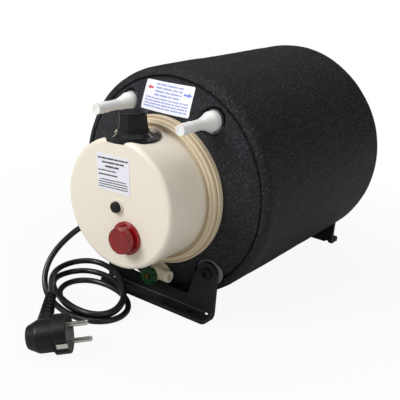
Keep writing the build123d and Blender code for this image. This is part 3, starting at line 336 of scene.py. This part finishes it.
def sheet_on(outline, place, thickness, cell=3.0):
    """A thin plate with this outline, cut into cells, laid where place puts each point."""
    mesh = bmesh.new()
    mesh.faces.new([mesh.verts.new((x, 0, z)) for x, z in outline])
    for axis in (0, 2):
        low = min(v.co[axis] for v in mesh.verts)
        high = max(v.co[axis] for v in mesh.verts)
        normal = Vector([float(k == axis) for k in range(3)])
        for step in range(1, math.ceil((high - low) / cell)):
            everything = mesh.verts[:] + mesh.edges[:] + mesh.faces[:]
            bmesh.ops.bisect_plane(
                mesh, geom=everything, plane_co=normal * (low + step * cell), plane_no=normal
            )
    bmesh.ops.triangulate(mesh, faces=mesh.faces[:])
    top = list(mesh.faces)
    grown = bmesh.ops.extrude_face_region(mesh, geom=top)
    lifted = {g for g in grown["geom"] if isinstance(g, bmesh.types.BMVert)}
    for vert in mesh.verts:
        vert.co = Vector(place(vert.co.x, vert.co.z, thickness if vert in lifted else 0))
    bmesh.ops.recalc_face_normals(mesh, faces=mesh.faces[:])
    data = bpy.data.meshes.new("plate")
    mesh.to_mesh(data)
    mesh.free()
    return data


def on_pad(x, z, lift):
    """A place on the front pad's dome, x and z in millimetres from the tank's axis."""
    radius = math.hypot(x, z) * MM
    reach = math.sqrt(PAD_DOME**2 - radius**2) - math.sqrt(PAD_DOME**2 - PAD_RADIUS**2)
    return (x * MM, FRONT_Y - reach - lift, TANK_AXIS_Z + z * MM)


def on_cover(x, z, lift, reach=COVER_FACE):
    """A place on the cover's face, x and z in millimetres in its own turned frame."""
    turn_x = x * math.cos(COVER_TURN) - z * math.sin(COVER_TURN)
    turn_z = x * math.sin(COVER_TURN) + z * math.cos(COVER_TURN)
    return (turn_x * MM, FRONT_Y - reach - lift, COVER_AXIS_Z + turn_z * MM)


def dashes(rows):
    """Each row (left, right, top, width) as word-like dashes of uneven length."""
    cut = []
    for number, (left, right, top, width) in enumerate(rows):
        start, step = left, number
        while start < right - width:
            reach = min(right, start + width * (2.4 + 1.1 * (step * 7 % 5)))
            cut.append((start, reach, top, width))
            start, step = reach + 0.7 * width, step + 1
    return cut


def spun_mesh(profile, rounds, spread):
    """A closed profile of (radius, y) turned round the tank's axis; spread moves each point."""
    mesh = bmesh.new()
    rings = []
    for index in range(rounds):
        turn = 2 * math.pi * index / rounds
        ring = []
        for radius, y in profile:
            out = radius + spread(turn, radius, y)
            place = (out * math.cos(turn), y, TANK_AXIS_Z + out * math.sin(turn))
            ring.append(mesh.verts.new(place))
        rings.append(ring)
    count = len(profile)
    for index, ring in enumerate(rings):
        other = rings[(index + 1) % rounds]
        for step in range(count):
            following = (step + 1) % count
            mesh.faces.new((ring[step], ring[following], other[following], other[step]))
    bmesh.ops.recalc_face_normals(mesh, faces=mesh.faces[:])
    data = bpy.data.meshes.new("spun")
    mesh.to_mesh(data)
    mesh.free()
    return data


# Foam


def jacket_profile(outer, back, front):
    """The wrapped sleeve's section, from its inner front corner round to its inner back one."""
    rim, lip = 8.2 * MM, 1.2 * MM
    corner_steps, wall_steps, bore_steps = 8, 70, 20
    points = [(JACKET_INNER, front + lip)]
    for end, away in ((front, 1), (back, -1)):
        corner = []
        for step in range(corner_steps + 1):
            turn = math.pi / 2 * step / corner_steps
            radius = outer - rim + rim * math.sin(turn)
            corner.append((radius, end + away * (rim - rim * math.cos(turn))))
        points += corner if away == 1 else corner[::-1]
        if away == 1:
            length = back - front - 2 * rim
            points += [
                (outer, front + rim + length * step / wall_steps) for step in range(1, wall_steps)
            ]
    points.append((JACKET_INNER, back - lip))
    points += [
        (JACKET_INNER, back - (back - front) * step / bore_steps) for step in range(1, bore_steps)
    ]
    return points


def jacket_spread(undulation):
    """How far the skin lies off a true cylinder: slow waves, and a belly low at the front."""
    waves_around, waves_along, finer, finer_share = 2.1, 17, 3.7, 0.35
    belly_depth, belly_back, belly_reach = 1.6 * MM, 45 * MM, 40 * MM
    belly_turn, belly_narrowing = math.radians(12), 6

    def spread(turn, radius, y):
        if radius < JACKET_INNER + 2 * MM:
            return 0
        around = (math.cos(turn) * waves_around, math.sin(turn) * waves_around)
        at = Vector((*around, y * waves_along))
        waves = undulation * (noise.noise(at) + finer_share * noise.noise(at * finer))
        low = max(0, -math.sin(turn + belly_turn)) ** belly_narrowing
        fading = math.exp(-(((y - FRONT_Y - belly_back) / belly_reach) ** 2))
        return waves + belly_depth * low * fading - undulation * 0.4

    return spread


def pad_from_node(node, name, material, voxel_mm):
    """A foam pad with its holes: the solid's own form, softened as cut foam is."""
    piece = bpy.data.objects.new(name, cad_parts[node].data.copy())
    bpy.context.scene.collection.objects.link(piece)
    weld = piece.modifiers.new("weld", "WELD")
    weld.merge_threshold = 0.01 * MM
    remesh = piece.modifiers.new("remesh", "REMESH")
    remesh.mode = "VOXEL"
    remesh.voxel_size = voxel_mm * MM
    soften = piece.modifiers.new("soften", "SMOOTH")
    soften.factor = 0.5
    soften.iterations = 6
    bpy.context.view_layer.update()
    shaped = bpy.data.meshes.new_from_object(
        piece.evaluated_get(bpy.context.evaluated_depsgraph_get())
    )
    bpy.data.objects.remove(piece)
    # The waves are read from the normals before any vertex moves, since a move renews them all
    wave_mm, waves_per_metre = 0.35, 60
    waves = [
        vert.normal * wave_mm * MM * noise.noise(vert.co * waves_per_metre)
        for vert in shaped.vertices
    ]
    for vert, wave in zip(shaped.vertices, waves):
        vert.co += wave
    pad = piece_from(name, shaped, material)
    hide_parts(node)
    return pad


# Lead


def coil_points():
    """Points of the loose turns, led through the quarter-turn places on their headings."""
    points = []
    for (ax, ay, az, a_turn, a_climb), (bx, by, bz, b_turn, b_climb) in zip(
        COIL_PLACES, COIL_PLACES[1:]
    ):
        start, end = Vector((ax, ay, az)), Vector((bx, by, bz))
        turned = abs(math.radians(b_turn - a_turn))
        pull = (end - start).length / math.cos(turned / 4) ** 2
        ways = [
            Vector((math.cos(math.radians(turn)), math.sin(math.radians(turn)), climb)) * pull
            for turn, climb in ((a_turn, a_climb), (b_turn, b_climb))
        ]
        count = max(2, math.ceil(abs(b_turn - a_turn) / COIL_STEP_DEGREES))
        for step in range(1, count + 1):
            t = step / count
            points.append(
                start * (2 * t**3 - 3 * t**2 + 1)
                + ways[0] * (t**3 - 2 * t**2 + t)
                + end * (3 * t**2 - 2 * t**3)
                + ways[1] * (t**3 - t**2)
            )
    return points


def evened(points, passes, lowest):
    """The points with their bends evened out as a stiff cord does it, and none below the floor:
    each pass draws a point towards its neighbours and then gives back the lost width."""
    points = [Vector(point) for point in points]
    for _ in range(passes):
        for share in (0.5, -0.52):
            middles = [(before + after) / 2 for before, after in zip(points, points[2:])]
            inner = [point.lerp(middle, share) for point, middle in zip(points[1:], middles)]
            points = [points[0], *inner, points[-1]]
    return [Vector((point.x, point.y, max(point.z, lowest))) for point in points]


def lead_curve(points, diameter, material):
    """A lead on one smooth spline through the air and over its own turns."""
    curve = bpy.data.curves.new("lead", "CURVE")
    curve.dimensions = "3D"
    curve.resolution_u = 12
    curve.bevel_depth = diameter / 2
    curve.bevel_resolution = 6
    curve.use_fill_caps = True
    spline = curve.splines.new("NURBS")
    spline.points.add(len(points) - 1)
    for place, point in zip(spline.points, points):
        place.co = (*point, 1)
    spline.order_u = 3
    spline.use_endpoint_u = True
    lead = bpy.data.objects.new("lead", curve)
    bpy.context.scene.collection.objects.link(lead)
    curve.materials.append(material)
    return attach(lead, "heater")


# Operators


class HEATER_OT_foam(bpy.types.Operator):
    """Wrap the tank in its foam jacket and set a foam pad over each end"""

    bl_idname = "heater.foam"
    bl_label = "Foam jacket and pads"

    def execute(self, context):
        colours, sizes = context.scene.heater_colours, context.scene.heater_sizes
        bead = sizes.foam_bead / MM
        jacket_foam = foam_material("closed-cell foam, wrapped", tuple(colours.foam), bead)
        # The cut pads show finer beads than the wrapped skin
        pad_foam = foam_material("closed-cell foam, cut", tuple(colours.pad), bead * 0.7)
        profile = jacket_profile(JACKET_OUTER, REAR_Y, FRONT_Y)
        mesh = spun_mesh(profile, rounds=180, spread=jacket_spread(sizes.undulation))
        jacket = piece_from("foam_jacket", mesh, jacket_foam)
        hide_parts("insulation_jacket")
        pad_from_node("front_insulation_pad", "front_foam_pad", pad_foam, voxel_mm=1.6)
        pad_from_node("rear_insulation_pad", "rear_foam_pad", pad_foam, voxel_mm=2.4)
        return {"FINISHED"}


class HEATER_OT_cover(bpy.types.Operator):
    """Finish the moulded cover, its stepped base ring and the reset button"""

    bl_idname = "heater.cover"
    bl_label = "Cover"

    def execute(self, context):
        colours = context.scene.heater_colours
        # ABS, injection moulded in a polished tool: even, softly glossy cream
        cream = finish(
            "ABS cream, moulded", tuple(colours.cover),
            roughness=0.34, grain_mm=0.5, depth_mm=0.004, spread=0.015, mottle_mm=60, IOR=1.54,
        )
        # ABS, injection moulded: a warmer tan with a slightly duller face, darker than the cover's
        # cream partly by its own tint and partly as painted shade
        tan = finish(
            "ABS tan, moulded", tuple(colours.ring),
            roughness=0.42, grain_mm=0.5, depth_mm=0.004, spread=0.012, mottle_mm=60, IOR=1.54,
        )
        # Polyamide, moulded: black, a little waxy
        black = finish(
            "polyamide black, moulded", tuple(colours.knob),
            roughness=0.38, grain_mm=0.4, depth_mm=0.01, IOR=1.53,
            **{"Specular IOR Level": 0.25},
        )
        dress(["cover_cap"], cream)
        dress(["cover_base"], tan)
        dress(["reset_button"], black)
        return {"FINISHED"}


class HEATER_OT_knob(bpy.types.Operator):
    """Finish the thermostat knob and set its dial marks on the brim"""

    bl_idname = "heater.knob"
    bl_label = "Thermostat knob"

    def execute(self, context):
        colours = context.scene.heater_colours
        # Phenolic resin, pressed and lightly polished: deep black with a soft shine
        resin = finish(
            "phenolic black, pressed", tuple(colours.knob),
            roughness=0.38, grain_mm=0.45, depth_mm=0.008, spread=0.1, mottle_mm=25, IOR=1.6,
            **{"Specular IOR Level": 0.25},
        )
        # Marking paint wiped into the dial's grooves: matt white
        paint = finish(
            "marking paint, white", linear("D9DADC"),
            roughness=0.55, grain_mm=0.3, depth_mm=0.01, IOR=1.5,
        )
        dress(["thermostat_knob"], resin)
        marks = bmesh.new()
        mark_count, first_mark, mark_step = 6, 12.0, 44.8
        half_width, thickness_mm = 0.45 * MM, 0.12
        # The brim's slope as radius and height, from its inner to its outer end
        slope = [(16.2, 65.95), (17.2, 65.0), (18.2, 64.1), (19.2, 63.2), (20.4, 62.93)]
        for index in range(mark_count):
            turn = math.radians(first_mark + mark_step * index)
            way = Vector((math.cos(turn), math.sin(turn)))
            side = Vector((-math.sin(turn), math.cos(turn)))
            rows = []
            for radius, height in slope:
                row = []
                for edge in (-half_width, half_width):
                    flat = way * radius * MM + side * edge
                    lift = (height + thickness_mm) * MM
                    x, y, z = flat.x, -KNOB_DEPTH + flat.y, lift
                    row.append(marks.verts.new(on_cover(x / MM, z / MM, 0, -y)))
                rows.append(row)
            for low, high in zip(rows, rows[1:]):
                marks.faces.new((low[0], low[1], high[1], high[0]))
        bmesh.ops.recalc_face_normals(marks, faces=marks.faces[:])
        bmesh.ops.solidify(marks, geom=marks.faces[:], thickness=thickness_mm * MM)
        mesh = bpy.data.meshes.new("dial_marks")
        marks.to_mesh(mesh)
        marks.free()
        piece_from("dial_marks", mesh, paint, "knob", smooth=False)
        return {"FINISHED"}


class HEATER_OT_lamp(bpy.types.Operator):
    """Finish the pilot lamp: red lens, red bezel, body, nut and neon bulb"""

    bl_idname = "heater.lamp"
    bl_label = "Pilot lamp"

    def execute(self, context):
        colours = context.scene.heater_colours
        # Polycarbonate, moulded clear red: light goes in, and the far wall glows through
        lens = finish(
            "polycarbonate red, clear", tuple(colours.lens),
            roughness=0.08, grain_mm=1.6, depth_mm=0.005, spread=0.04, mottle_mm=9, IOR=1.58,
            **{"Transmission Weight": 0.7},
        )
        # Polycarbonate, moulded solid red
        bezel = finish(
            "polycarbonate red, solid", tuple(colours.bezel),
            roughness=0.22, grain_mm=0.8, depth_mm=0.015, IOR=1.58,
        )
        # Polyamide, natural, moulded
        body = finish(
            "polyamide natural, moulded", linear("D8D4C8"),
            roughness=0.45, grain_mm=0.5, depth_mm=0.01, IOR=1.53,
        )
        # Soft glass, blown: clear with a thin warm tint
        glass = finish(
            "soft glass, blown", linear("F4EDE4"),
            roughness=0.05, grain_mm=1.2, depth_mm=0.01, spread=0.02, IOR=1.52,
            **{"Transmission Weight": 0.9},
        )
        dress(["pilot_lamp_lens"], lens)
        dress(["pilot_lamp_bezel"], bezel)
        dress(["pilot_lamp_body", "pilot_lamp_nut"], body)
        dress(["neon_bulb"], glass)
        return {"FINISHED"}


class HEATER_OT_labels(bpy.types.Operator):
    """Lay the flow label on the front pad and the bare rating plate on the cover"""

    bl_idname = "heater.labels"
    bl_label = "Labels"

    def execute(self, context):
        colours, sizes = context.scene.heater_colours, context.scene.heater_sizes
        wall, ink = sizes.label_wall, 0.12 * MM
        # Vinyl film, printed and laminated: even white with a faint sheen
        film = finish(
            "vinyl film, laminated", tuple(colours.label),
            roughness=0.36, grain_mm=0.7, depth_mm=0.008, spread=0.015, IOR=1.5,
        )
        # Screen inks: matt, a little uneven
        red, blue, pale, grey = (
            finish(f"screen ink, {name}", rgb, roughness=0.5, grain_mm=0.5, depth_mm=0.01, IOR=1.5)
            for name, rgb in (
                ("red", tuple(colours.hot)),
                ("blue", tuple(colours.cold)),
                ("pale violet", linear("98A0D2")),
                ("dark grey", linear("3A3B40")),
            )
        )
        # How far the labels stand off the pad's waved skin and off the cover. The rules on both
        # keep to the pad's gap.
        gap, cover_gap = 0.4 * MM, 0.05 * MM

        def lay(name, outline, place, lift, thickness, material):
            mesh = sheet_on(outline, lambda x, z, up: place(x, z, lift + up), thickness)
            return piece_from(name, mesh, material, smooth=False)

        def bars(name, rows, place, material):
            """Ruled bars in place of print, as (left, right, height, width)."""
            built = bmesh.new()
            for left, right, high, width in rows:
                outline = [(left, high), (right, high), (right, high - width), (left, high - width)]
                part = sheet_on(outline, lambda x, z, up: place(x, z, gap + wall + up), ink)
                built.from_mesh(part)
                bpy.data.meshes.remove(part)
            mesh = bpy.data.meshes.new(name)
            built.to_mesh(mesh)
            built.free()
            return piece_from(name, mesh, material, smooth=False)

        flow = rounded_outline([(-32.6, 104.2), (27.0, 105.2), (28.6, 76.5), (-31.4, 76.5)], 2.0)
        lay("flow_label", flow, on_pad, gap, wall, film)
        hot_arrow = [
            (-29, 97.4), (-25, 99.4), (-25, 98.2), (-21, 98.2), (-21, 96.6), (-25, 96.6),
            (-25, 95.4),
        ]
        cold_arrow = [
            (26.4, 96.5), (21.8, 98.9), (21.8, 97.5), (17, 97.5), (17, 95.5), (21.8, 95.5),
            (21.8, 94.1),
        ]
        lay("hot_arrow", hot_arrow, on_pad, gap + wall, ink, red)
        lay("cold_arrow", cold_arrow, on_pad, gap + wall, ink, blue)
        flow_rows = [(-18, 15, top, 1.7) for top in (102.4, 99.1, 95.8, 92.5)]
        flow_rows += [(-28, 25, top, 1.3) for top in (88.9, 86.2, 83.5, 80.8)]
        bars("flow_label_rules", dashes(flow_rows), on_pad, pale)
        plate = rounded_outline([(-23.8, 48.6), (16.4, 46.5), (16.5, 11.3), (-23.5, 13.5)], 1.2)
        lay("rating_plate", plate, on_cover, cover_gap, wall, film)
        plate_rows = [
            (-22, 15, 44.6, 1.3), (-17, 10, 40.8, 1.3), (-13, 6, 37.0, 1.5),
            (-22, 0, 32.6, 0.9), (-22, 2, 28.6, 1.1),
            (-20, 13, 23.6, 0.7), (-22, 14, 21.2, 0.7), (-22, 14, 18.8, 0.7), (-22, 14, 16.4, 0.7),
        ]
        bars("rating_plate_rules", dashes(plate_rows), on_cover, grey)
        return {"FINISHED"}


class HEATER_OT_hoses(bpy.types.Operator):
    """Finish the two barbed hose connectors and their rubber rings"""

    bl_idname = "heater.hoses"
    bl_label = "Hose connectors"

    def execute(self, context):
        colours = context.scene.heater_colours
        # Polypropylene, natural, moulded: milky, light sinks a little way into it
        milky = finish(
            "polypropylene natural, moulded", tuple(colours.hose),
            roughness=0.33, grain_mm=0.6, depth_mm=0.012, spread=0.02, mottle_mm=30, IOR=1.49,
            **{"Subsurface Weight": 0.25, "Subsurface Scale": 2 * MM},
        )
        # EPDM rubber, moulded: matt black
        rubber = finish(
            "EPDM rubber, moulded", linear("141416"),
            roughness=0.7, grain_mm=0.6, depth_mm=0.02, IOR=1.52,
        )
        dress(["cold_hose_connector", "hot_hose_connector"], milky)
        dress(["hose_seals", "drain_seal", "flange_gasket"], rubber)
        # A thin skin closes each bore just inside its mouth, since the photo's mouths look closed
        for name, side in (("cold", -1), ("hot", 1)):
            skin = bmesh.new()
            bmesh.ops.create_cone(
                skin, cap_ends=True, segments=40, radius1=HOSE_BORE, radius2=HOSE_BORE, depth=MM
            )
            skin.transform(Matrix.Rotation(math.pi / 2, 4, "X"))
            mouth = (side * HOSE_SIDE, FRONT_Y - HOSE_REACH + MM, TANK_AXIS_Z + HOSE_HIGH)
            skin.transform(Matrix.Translation(mouth))
            mesh = bpy.data.meshes.new(f"{name}_mouth_skin")
            skin.to_mesh(mesh)
            skin.free()
            piece_from(f"{name}_mouth_skin", mesh, milky, smooth=False)
        return {"FINISHED"}


class HEATER_OT_drain(bpy.types.Operator):
    """Finish the drain valve: moulded body, spindle and green hand wheel"""

    bl_idname = "heater.drain"
    bl_label = "Drain valve"

    def execute(self, context):
        colours = context.scene.heater_colours
        # Acetal, natural, moulded: ivory with a slick face
        acetal = finish(
            "acetal natural, moulded", linear("E4DCC6"),
            roughness=0.3, grain_mm=0.5, depth_mm=0.01, spread=0.03, mottle_mm=25, IOR=1.48,
        )
        # ABS, moulded bottle green
        green = finish(
            "ABS green, moulded", tuple(colours.wheel),
            roughness=0.3, grain_mm=0.5, depth_mm=0.012, spread=0.1, mottle_mm=12, IOR=1.54,
        )
        # Brass, turned
        brass = brushed("brass, turned", linear("C9A24B"), roughness=0.28)
        dress(["drain_valve_body", "drain_bonnet", "drain_plug"], acetal)
        dress(["drain_handwheel"], green)
        dress(["drain_spindle"], brass)
        # Brass screw, headed and dulled by handling
        dulled = brushed("brass screw, dulled", linear("8A6A3A"), roughness=0.42)
        dress(["drain_wheel_screw"], dulled)
        return {"FINISHED"}


class HEATER_OT_feet(bpy.types.Operator):
    """Finish the two bent feet, their bolts and the spacers behind them"""

    bl_idname = "heater.feet"
    bl_label = "Feet"

    def execute(self, context):
        colours = context.scene.heater_colours
        # Steel plate, bent and powder coated: satin black with a fine orange peel
        coated = finish(
            "powder coat black on steel", tuple(colours.feet),
            roughness=0.4, grain_mm=1.1, depth_mm=0.03, spread=0.08, mottle_mm=35, IOR=1.5,
        )
        # Steel screw, blackened in oil
        blackened = finish(
            "steel, oil blackened", linear("26272A"),
            roughness=0.36, grain_mm=0.4, depth_mm=0.01, spread=0.1, mottle_mm=12, Metallic=0.8,
        )
        # Polyethylene, turned: waxy; its mid grey is darker than the spacer's own pale grey, as
        # painted shade for the shadow it sits in
        spacer = finish(
            "polyethylene, turned", linear("7D7F84"),
            roughness=0.45, grain_mm=0.5, depth_mm=0.01, IOR=1.51,
        )
        dress(["front_foot", "rear_foot"], coated)
        dress(["foot_bolts"], blackened)
        dress(["foot_spacers"], spacer)
        return {"FINISHED"}


class HEATER_OT_inside(bpy.types.Operator):
    """Finish what lies behind the cover and inside the jacket"""

    bl_idname = "heater.inside"
    bl_label = "Tank and inner parts"

    def execute(self, context):
        # Stainless steel, rolled and welded: grey, drawn lines round the tank
        stainless = brushed(
            "stainless steel, rolled", linear("B9BABC"),
            roughness=0.34, along=(2, 14, 2), line_mm=0.8,
        )
        dress(["tank_shell", "cold_inlet_pipe", "hot_outlet_pipe"], stainless)
        # Steel, pressed and zinc plated: pale bluish grey
        zinc = brushed(
            "steel, zinc plated", linear("C2C6CA"),
            roughness=0.38, along=(3, 3, 3), line_mm=1.2,
        )
        dress(["flange_studs", "flange_washers", "flange_nuts", "thermostat_screws"], zinc)
        dress(["element_flange", "terminal_screws", "thermostat_spindle"], zinc)
        # Nickel alloy sheath, bent and oxidised
        oxidised = brushed("nickel alloy, oxidised", linear("6F6A62"), roughness=0.5)
        dress(["heating_element"], oxidised)
        # Steatite, fired: white, close-grained
        steatite = finish(
            "steatite, fired", linear("EDE8DD"),
            roughness=0.5, grain_mm=0.4, depth_mm=0.02, IOR=1.6,
        )
        dress(["element_beads"], steatite)
        # Brass, nickel plated
        plated = brushed("brass, nickel plated", linear("CBC7BB"), roughness=0.25)
        dress(["element_terminals"], plated)
        # Copper, drawn
        copper = brushed("copper, drawn", linear("B8704C"), roughness=0.3, along=(1, 10, 1))
        dress(["thermostat_pocket", "thermostat_sensor"], copper)
        # Polyamide, moulded
        amide = finish(
            "polyamide black, inner", linear("1D1E20"),
            roughness=0.45, grain_mm=0.5, depth_mm=0.01, IOR=1.53,
        )
        dress(["safety_cutout", "gland_nut", "cable_gland"], amide)
        # Polyester resin, moulded: pale and matt
        pale = finish(
            "polyester resin, moulded", linear("D9D5CB"),
            roughness=0.5, grain_mm=0.5, depth_mm=0.01, IOR=1.55,
        )
        dress(["thermostat_body", "terminal_block"], pale)
        return {"FINISHED"}


class HEATER_OT_lead(bpy.types.Operator):
    """Run the lead from the gland down to its loose coil and out to the plug"""

    bl_idname = "heater.lead"
    bl_label = "Lead and plug"

    def execute(self, context):
        colours, sizes = context.scene.heater_colours, context.scene.heater_sizes
        # PVC sheath, extruded: black, smooth, a soft streaky shine
        sheath = finish(
            "PVC black, extruded", tuple(colours.cord),
            roughness=0.34, grain_mm=0.7, depth_mm=0.02, spread=0.1, mottle_mm=20, IOR=1.53,
        )
        # Rubber plug, moulded on: black and duller
        rubber = finish(
            "rubber black, moulded", tuple(colours.cord),
            roughness=0.4, grain_mm=0.6, depth_mm=0.01, spread=0.08, mottle_mm=20, IOR=1.52,
            **{"Specular IOR Level": 0.3},
        )
        # Brass pins, nickel plated: bright
        nickel = brushed("brass pins, nickel plated", linear("D8D6D0"), roughness=0.2)
        # The drop from the gland stays as it is, and only the loose turns are evened out
        loose = evened(DROP_POINTS[-2:] + coil_points(), EVENING_PASSES, LOWEST_CORD)
        lead = lead_curve(DROP_POINTS[:-2] + loose, sizes.cord_diameter, sheath)
        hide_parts("power_cord", "cord_coil")
        dress(["cord_tail"], sheath)
        dress(["plug_housing", "plug_strain_relief"], rubber)
        dress(["plug_pins", "plug_earth_clips"], nickel)
        return {"FINISHED"}


class HEATER_OT_stage(bpy.types.Operator):
    """Set the floor, the soft lights and the camera"""

    bl_idname = "heater.stage"
    bl_label = "Stage, lights and camera"

    def execute(self, context):
        scene = context.scene
        scene.view_settings.view_transform = "Standard"
        scene.world = studio_world()
        floor = floor_piece()
        # Each light's name, place and side in metres, and its power in watts
        for name, place, side, power in (
            ("key", (-0.9, -1.6, 1.4), 1.0, 36),
            ("fill", (1.7, -0.9, 1.1), 1.4, 6),
            ("top", (-0.3, 0.3, 2.1), 1.4, 14),
        ):
            soft_light(name, Vector(place), side, power)
        scene.camera = product_camera()
        return {"FINISHED"}


def studio_world():
    """White to the camera, a dim even light on the object and a dimmer one in its reflections,
    which keeps the blacks deep."""
    world = bpy.data.worlds.new("studio")
    world.use_nodes = True
    tree = world.node_tree
    tree.nodes.clear()
    ray = add_node(tree, "ShaderNodeLightPath")
    even, mirrored = 0.34, 0.12
    lit = ranged(tree, ray.outputs["Is Glossy Ray"], 0, 1, even, mirrored)
    both = (ray.outputs["Is Camera Ray"], lit)
    strength = add_node(tree, "ShaderNodeMath", both, operation="MAXIMUM").outputs[0]
    light = add_node(
        tree, "ShaderNodeBackground", {"Color": (1, 1, 1, 1), "Strength": strength}
    )
    output = add_node(tree, "ShaderNodeOutputWorld")
    tree.links.new(light.outputs[0], output.inputs["Surface"])
    return world


def floor_piece():
    """A pale floor that keeps the shadow near the object and fades to plain white away from it."""
    mesh = bpy.data.meshes.new("floor")
    reach = 4.0
    corners = [(-reach, -reach, 0), (reach, -reach, 0), (reach, reach, 0), (-reach, reach, 0)]
    mesh.from_pydata(corners, [], [(0, 1, 2, 3)])
    floor = bpy.data.objects.new("floor", mesh)
    bpy.context.scene.collection.objects.link(floor)
    material, tree, output, place = blank_material("painted board, white")
    ray = add_node(tree, "ShaderNodeLightPath")
    away = add_node(tree, "ShaderNodeVectorMath", (place,), operation="LENGTH").outputs["Value"]
    board = add_node(
        tree, "ShaderNodeBsdfDiffuse", {"Color": (*linear("CFCFCD"), 1), "Roughness": 0.6}
    ).outputs[0]
    glow = add_node(
        tree, "ShaderNodeEmission", {"Color": (1, 1, 1, 1), "Strength": 1.0}
    ).outputs[0]
    # The glow's share at the object and away from it, and where the change starts and ends
    glow_near, glow_far, fade_start, fade_end = 0.92, 1.0, 0.2, 0.5
    faded = ranged(tree, away, fade_start, fade_end, glow_near, glow_far)
    seen = (faded, ray.outputs["Is Camera Ray"])
    share = add_node(tree, "ShaderNodeMath", seen, operation="MULTIPLY").outputs[0]
    mixed = add_node(tree, "ShaderNodeMixShader", (share, board, glow)).outputs[0]
    tree.links.new(mixed, output.inputs["Surface"])
    mesh.materials.append(material)
    return floor


def soft_light(name, place, side, power):
    """A square soft box that looks at the heater's middle."""
    light = bpy.data.lights.new(name, "AREA")
    light.shape = "SQUARE"
    light.size = side
    light.energy = power
    box = bpy.data.objects.new(name, light)
    bpy.context.scene.collection.objects.link(box)
    box.location = place
    aim = Vector((0, 0, TANK_AXIS_Z)) - place
    box.rotation_euler = aim.to_track_quat("-Z", "Y").to_euler()


def product_camera():
    """The camera that took the heater from its front right, a little above it."""
    camera = bpy.data.cameras.new("camera")
    camera.lens = 68.2
    camera.sensor_width = 36
    camera.sensor_fit = "HORIZONTAL"
    camera.clip_start = 0.01
    eye = bpy.data.objects.new("camera", camera)
    bpy.context.scene.collection.objects.link(eye)
    eye.matrix_world = Matrix(
        (
            (0.80490, -0.24993, 0.53821, 0.44708),
            (0.59029, 0.24443, -0.76930, -0.67460),
            (0.06073, 0.93691, 0.34427, 0.37991),
            (0, 0, 0, 1),
        )
    )
    return eye


STEPS = (
    HEATER_OT_cover,
    HEATER_OT_knob,
    HEATER_OT_lamp,
    HEATER_OT_foam,
    HEATER_OT_labels,
    HEATER_OT_hoses,
    HEATER_OT_drain,
    HEATER_OT_feet,
    HEATER_OT_inside,
    HEATER_OT_lead,
    HEATER_OT_stage,
)


class HEATER_PT_panel(bpy.types.Panel):
    """The heater's sizes, colours and steps"""

    bl_idname = "HEATER_PT_panel"
    bl_label = "Water heater"
    bl_space_type = "VIEW_3D"
    bl_region_type = "UI"
    bl_category = "Heater"

    def draw(self, context):
        for group in (context.scene.heater_sizes, context.scene.heater_colours):
            for name in group.bl_rna.properties.keys():
                if name not in {"rna_type", "name"}:
                    self.layout.prop(group, name)
        for step in STEPS:
            self.layout.operator(step.bl_idname)


CLASSES = (HeaterColours, HeaterSizes, *STEPS, HEATER_PT_panel)


def register():
    for kind in CLASSES:
        bpy.utils.register_class(kind)
    bpy.types.Scene.heater_colours = PointerProperty(type=HeaterColours)
    bpy.types.Scene.heater_sizes = PointerProperty(type=HeaterSizes)


def unregister():
    del bpy.types.Scene.heater_sizes
    del bpy.types.Scene.heater_colours
    for kind in reversed(CLASSES):
        bpy.utils.unregister_class(kind)


def main():
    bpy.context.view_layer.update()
    register()
    for step in STEPS:
        group, name = step.bl_idname.split(".")
        getattr(getattr(bpy.ops, group), name)()
    bpy.context.view_layer.update()


if __name__ == "__main__":
    main()
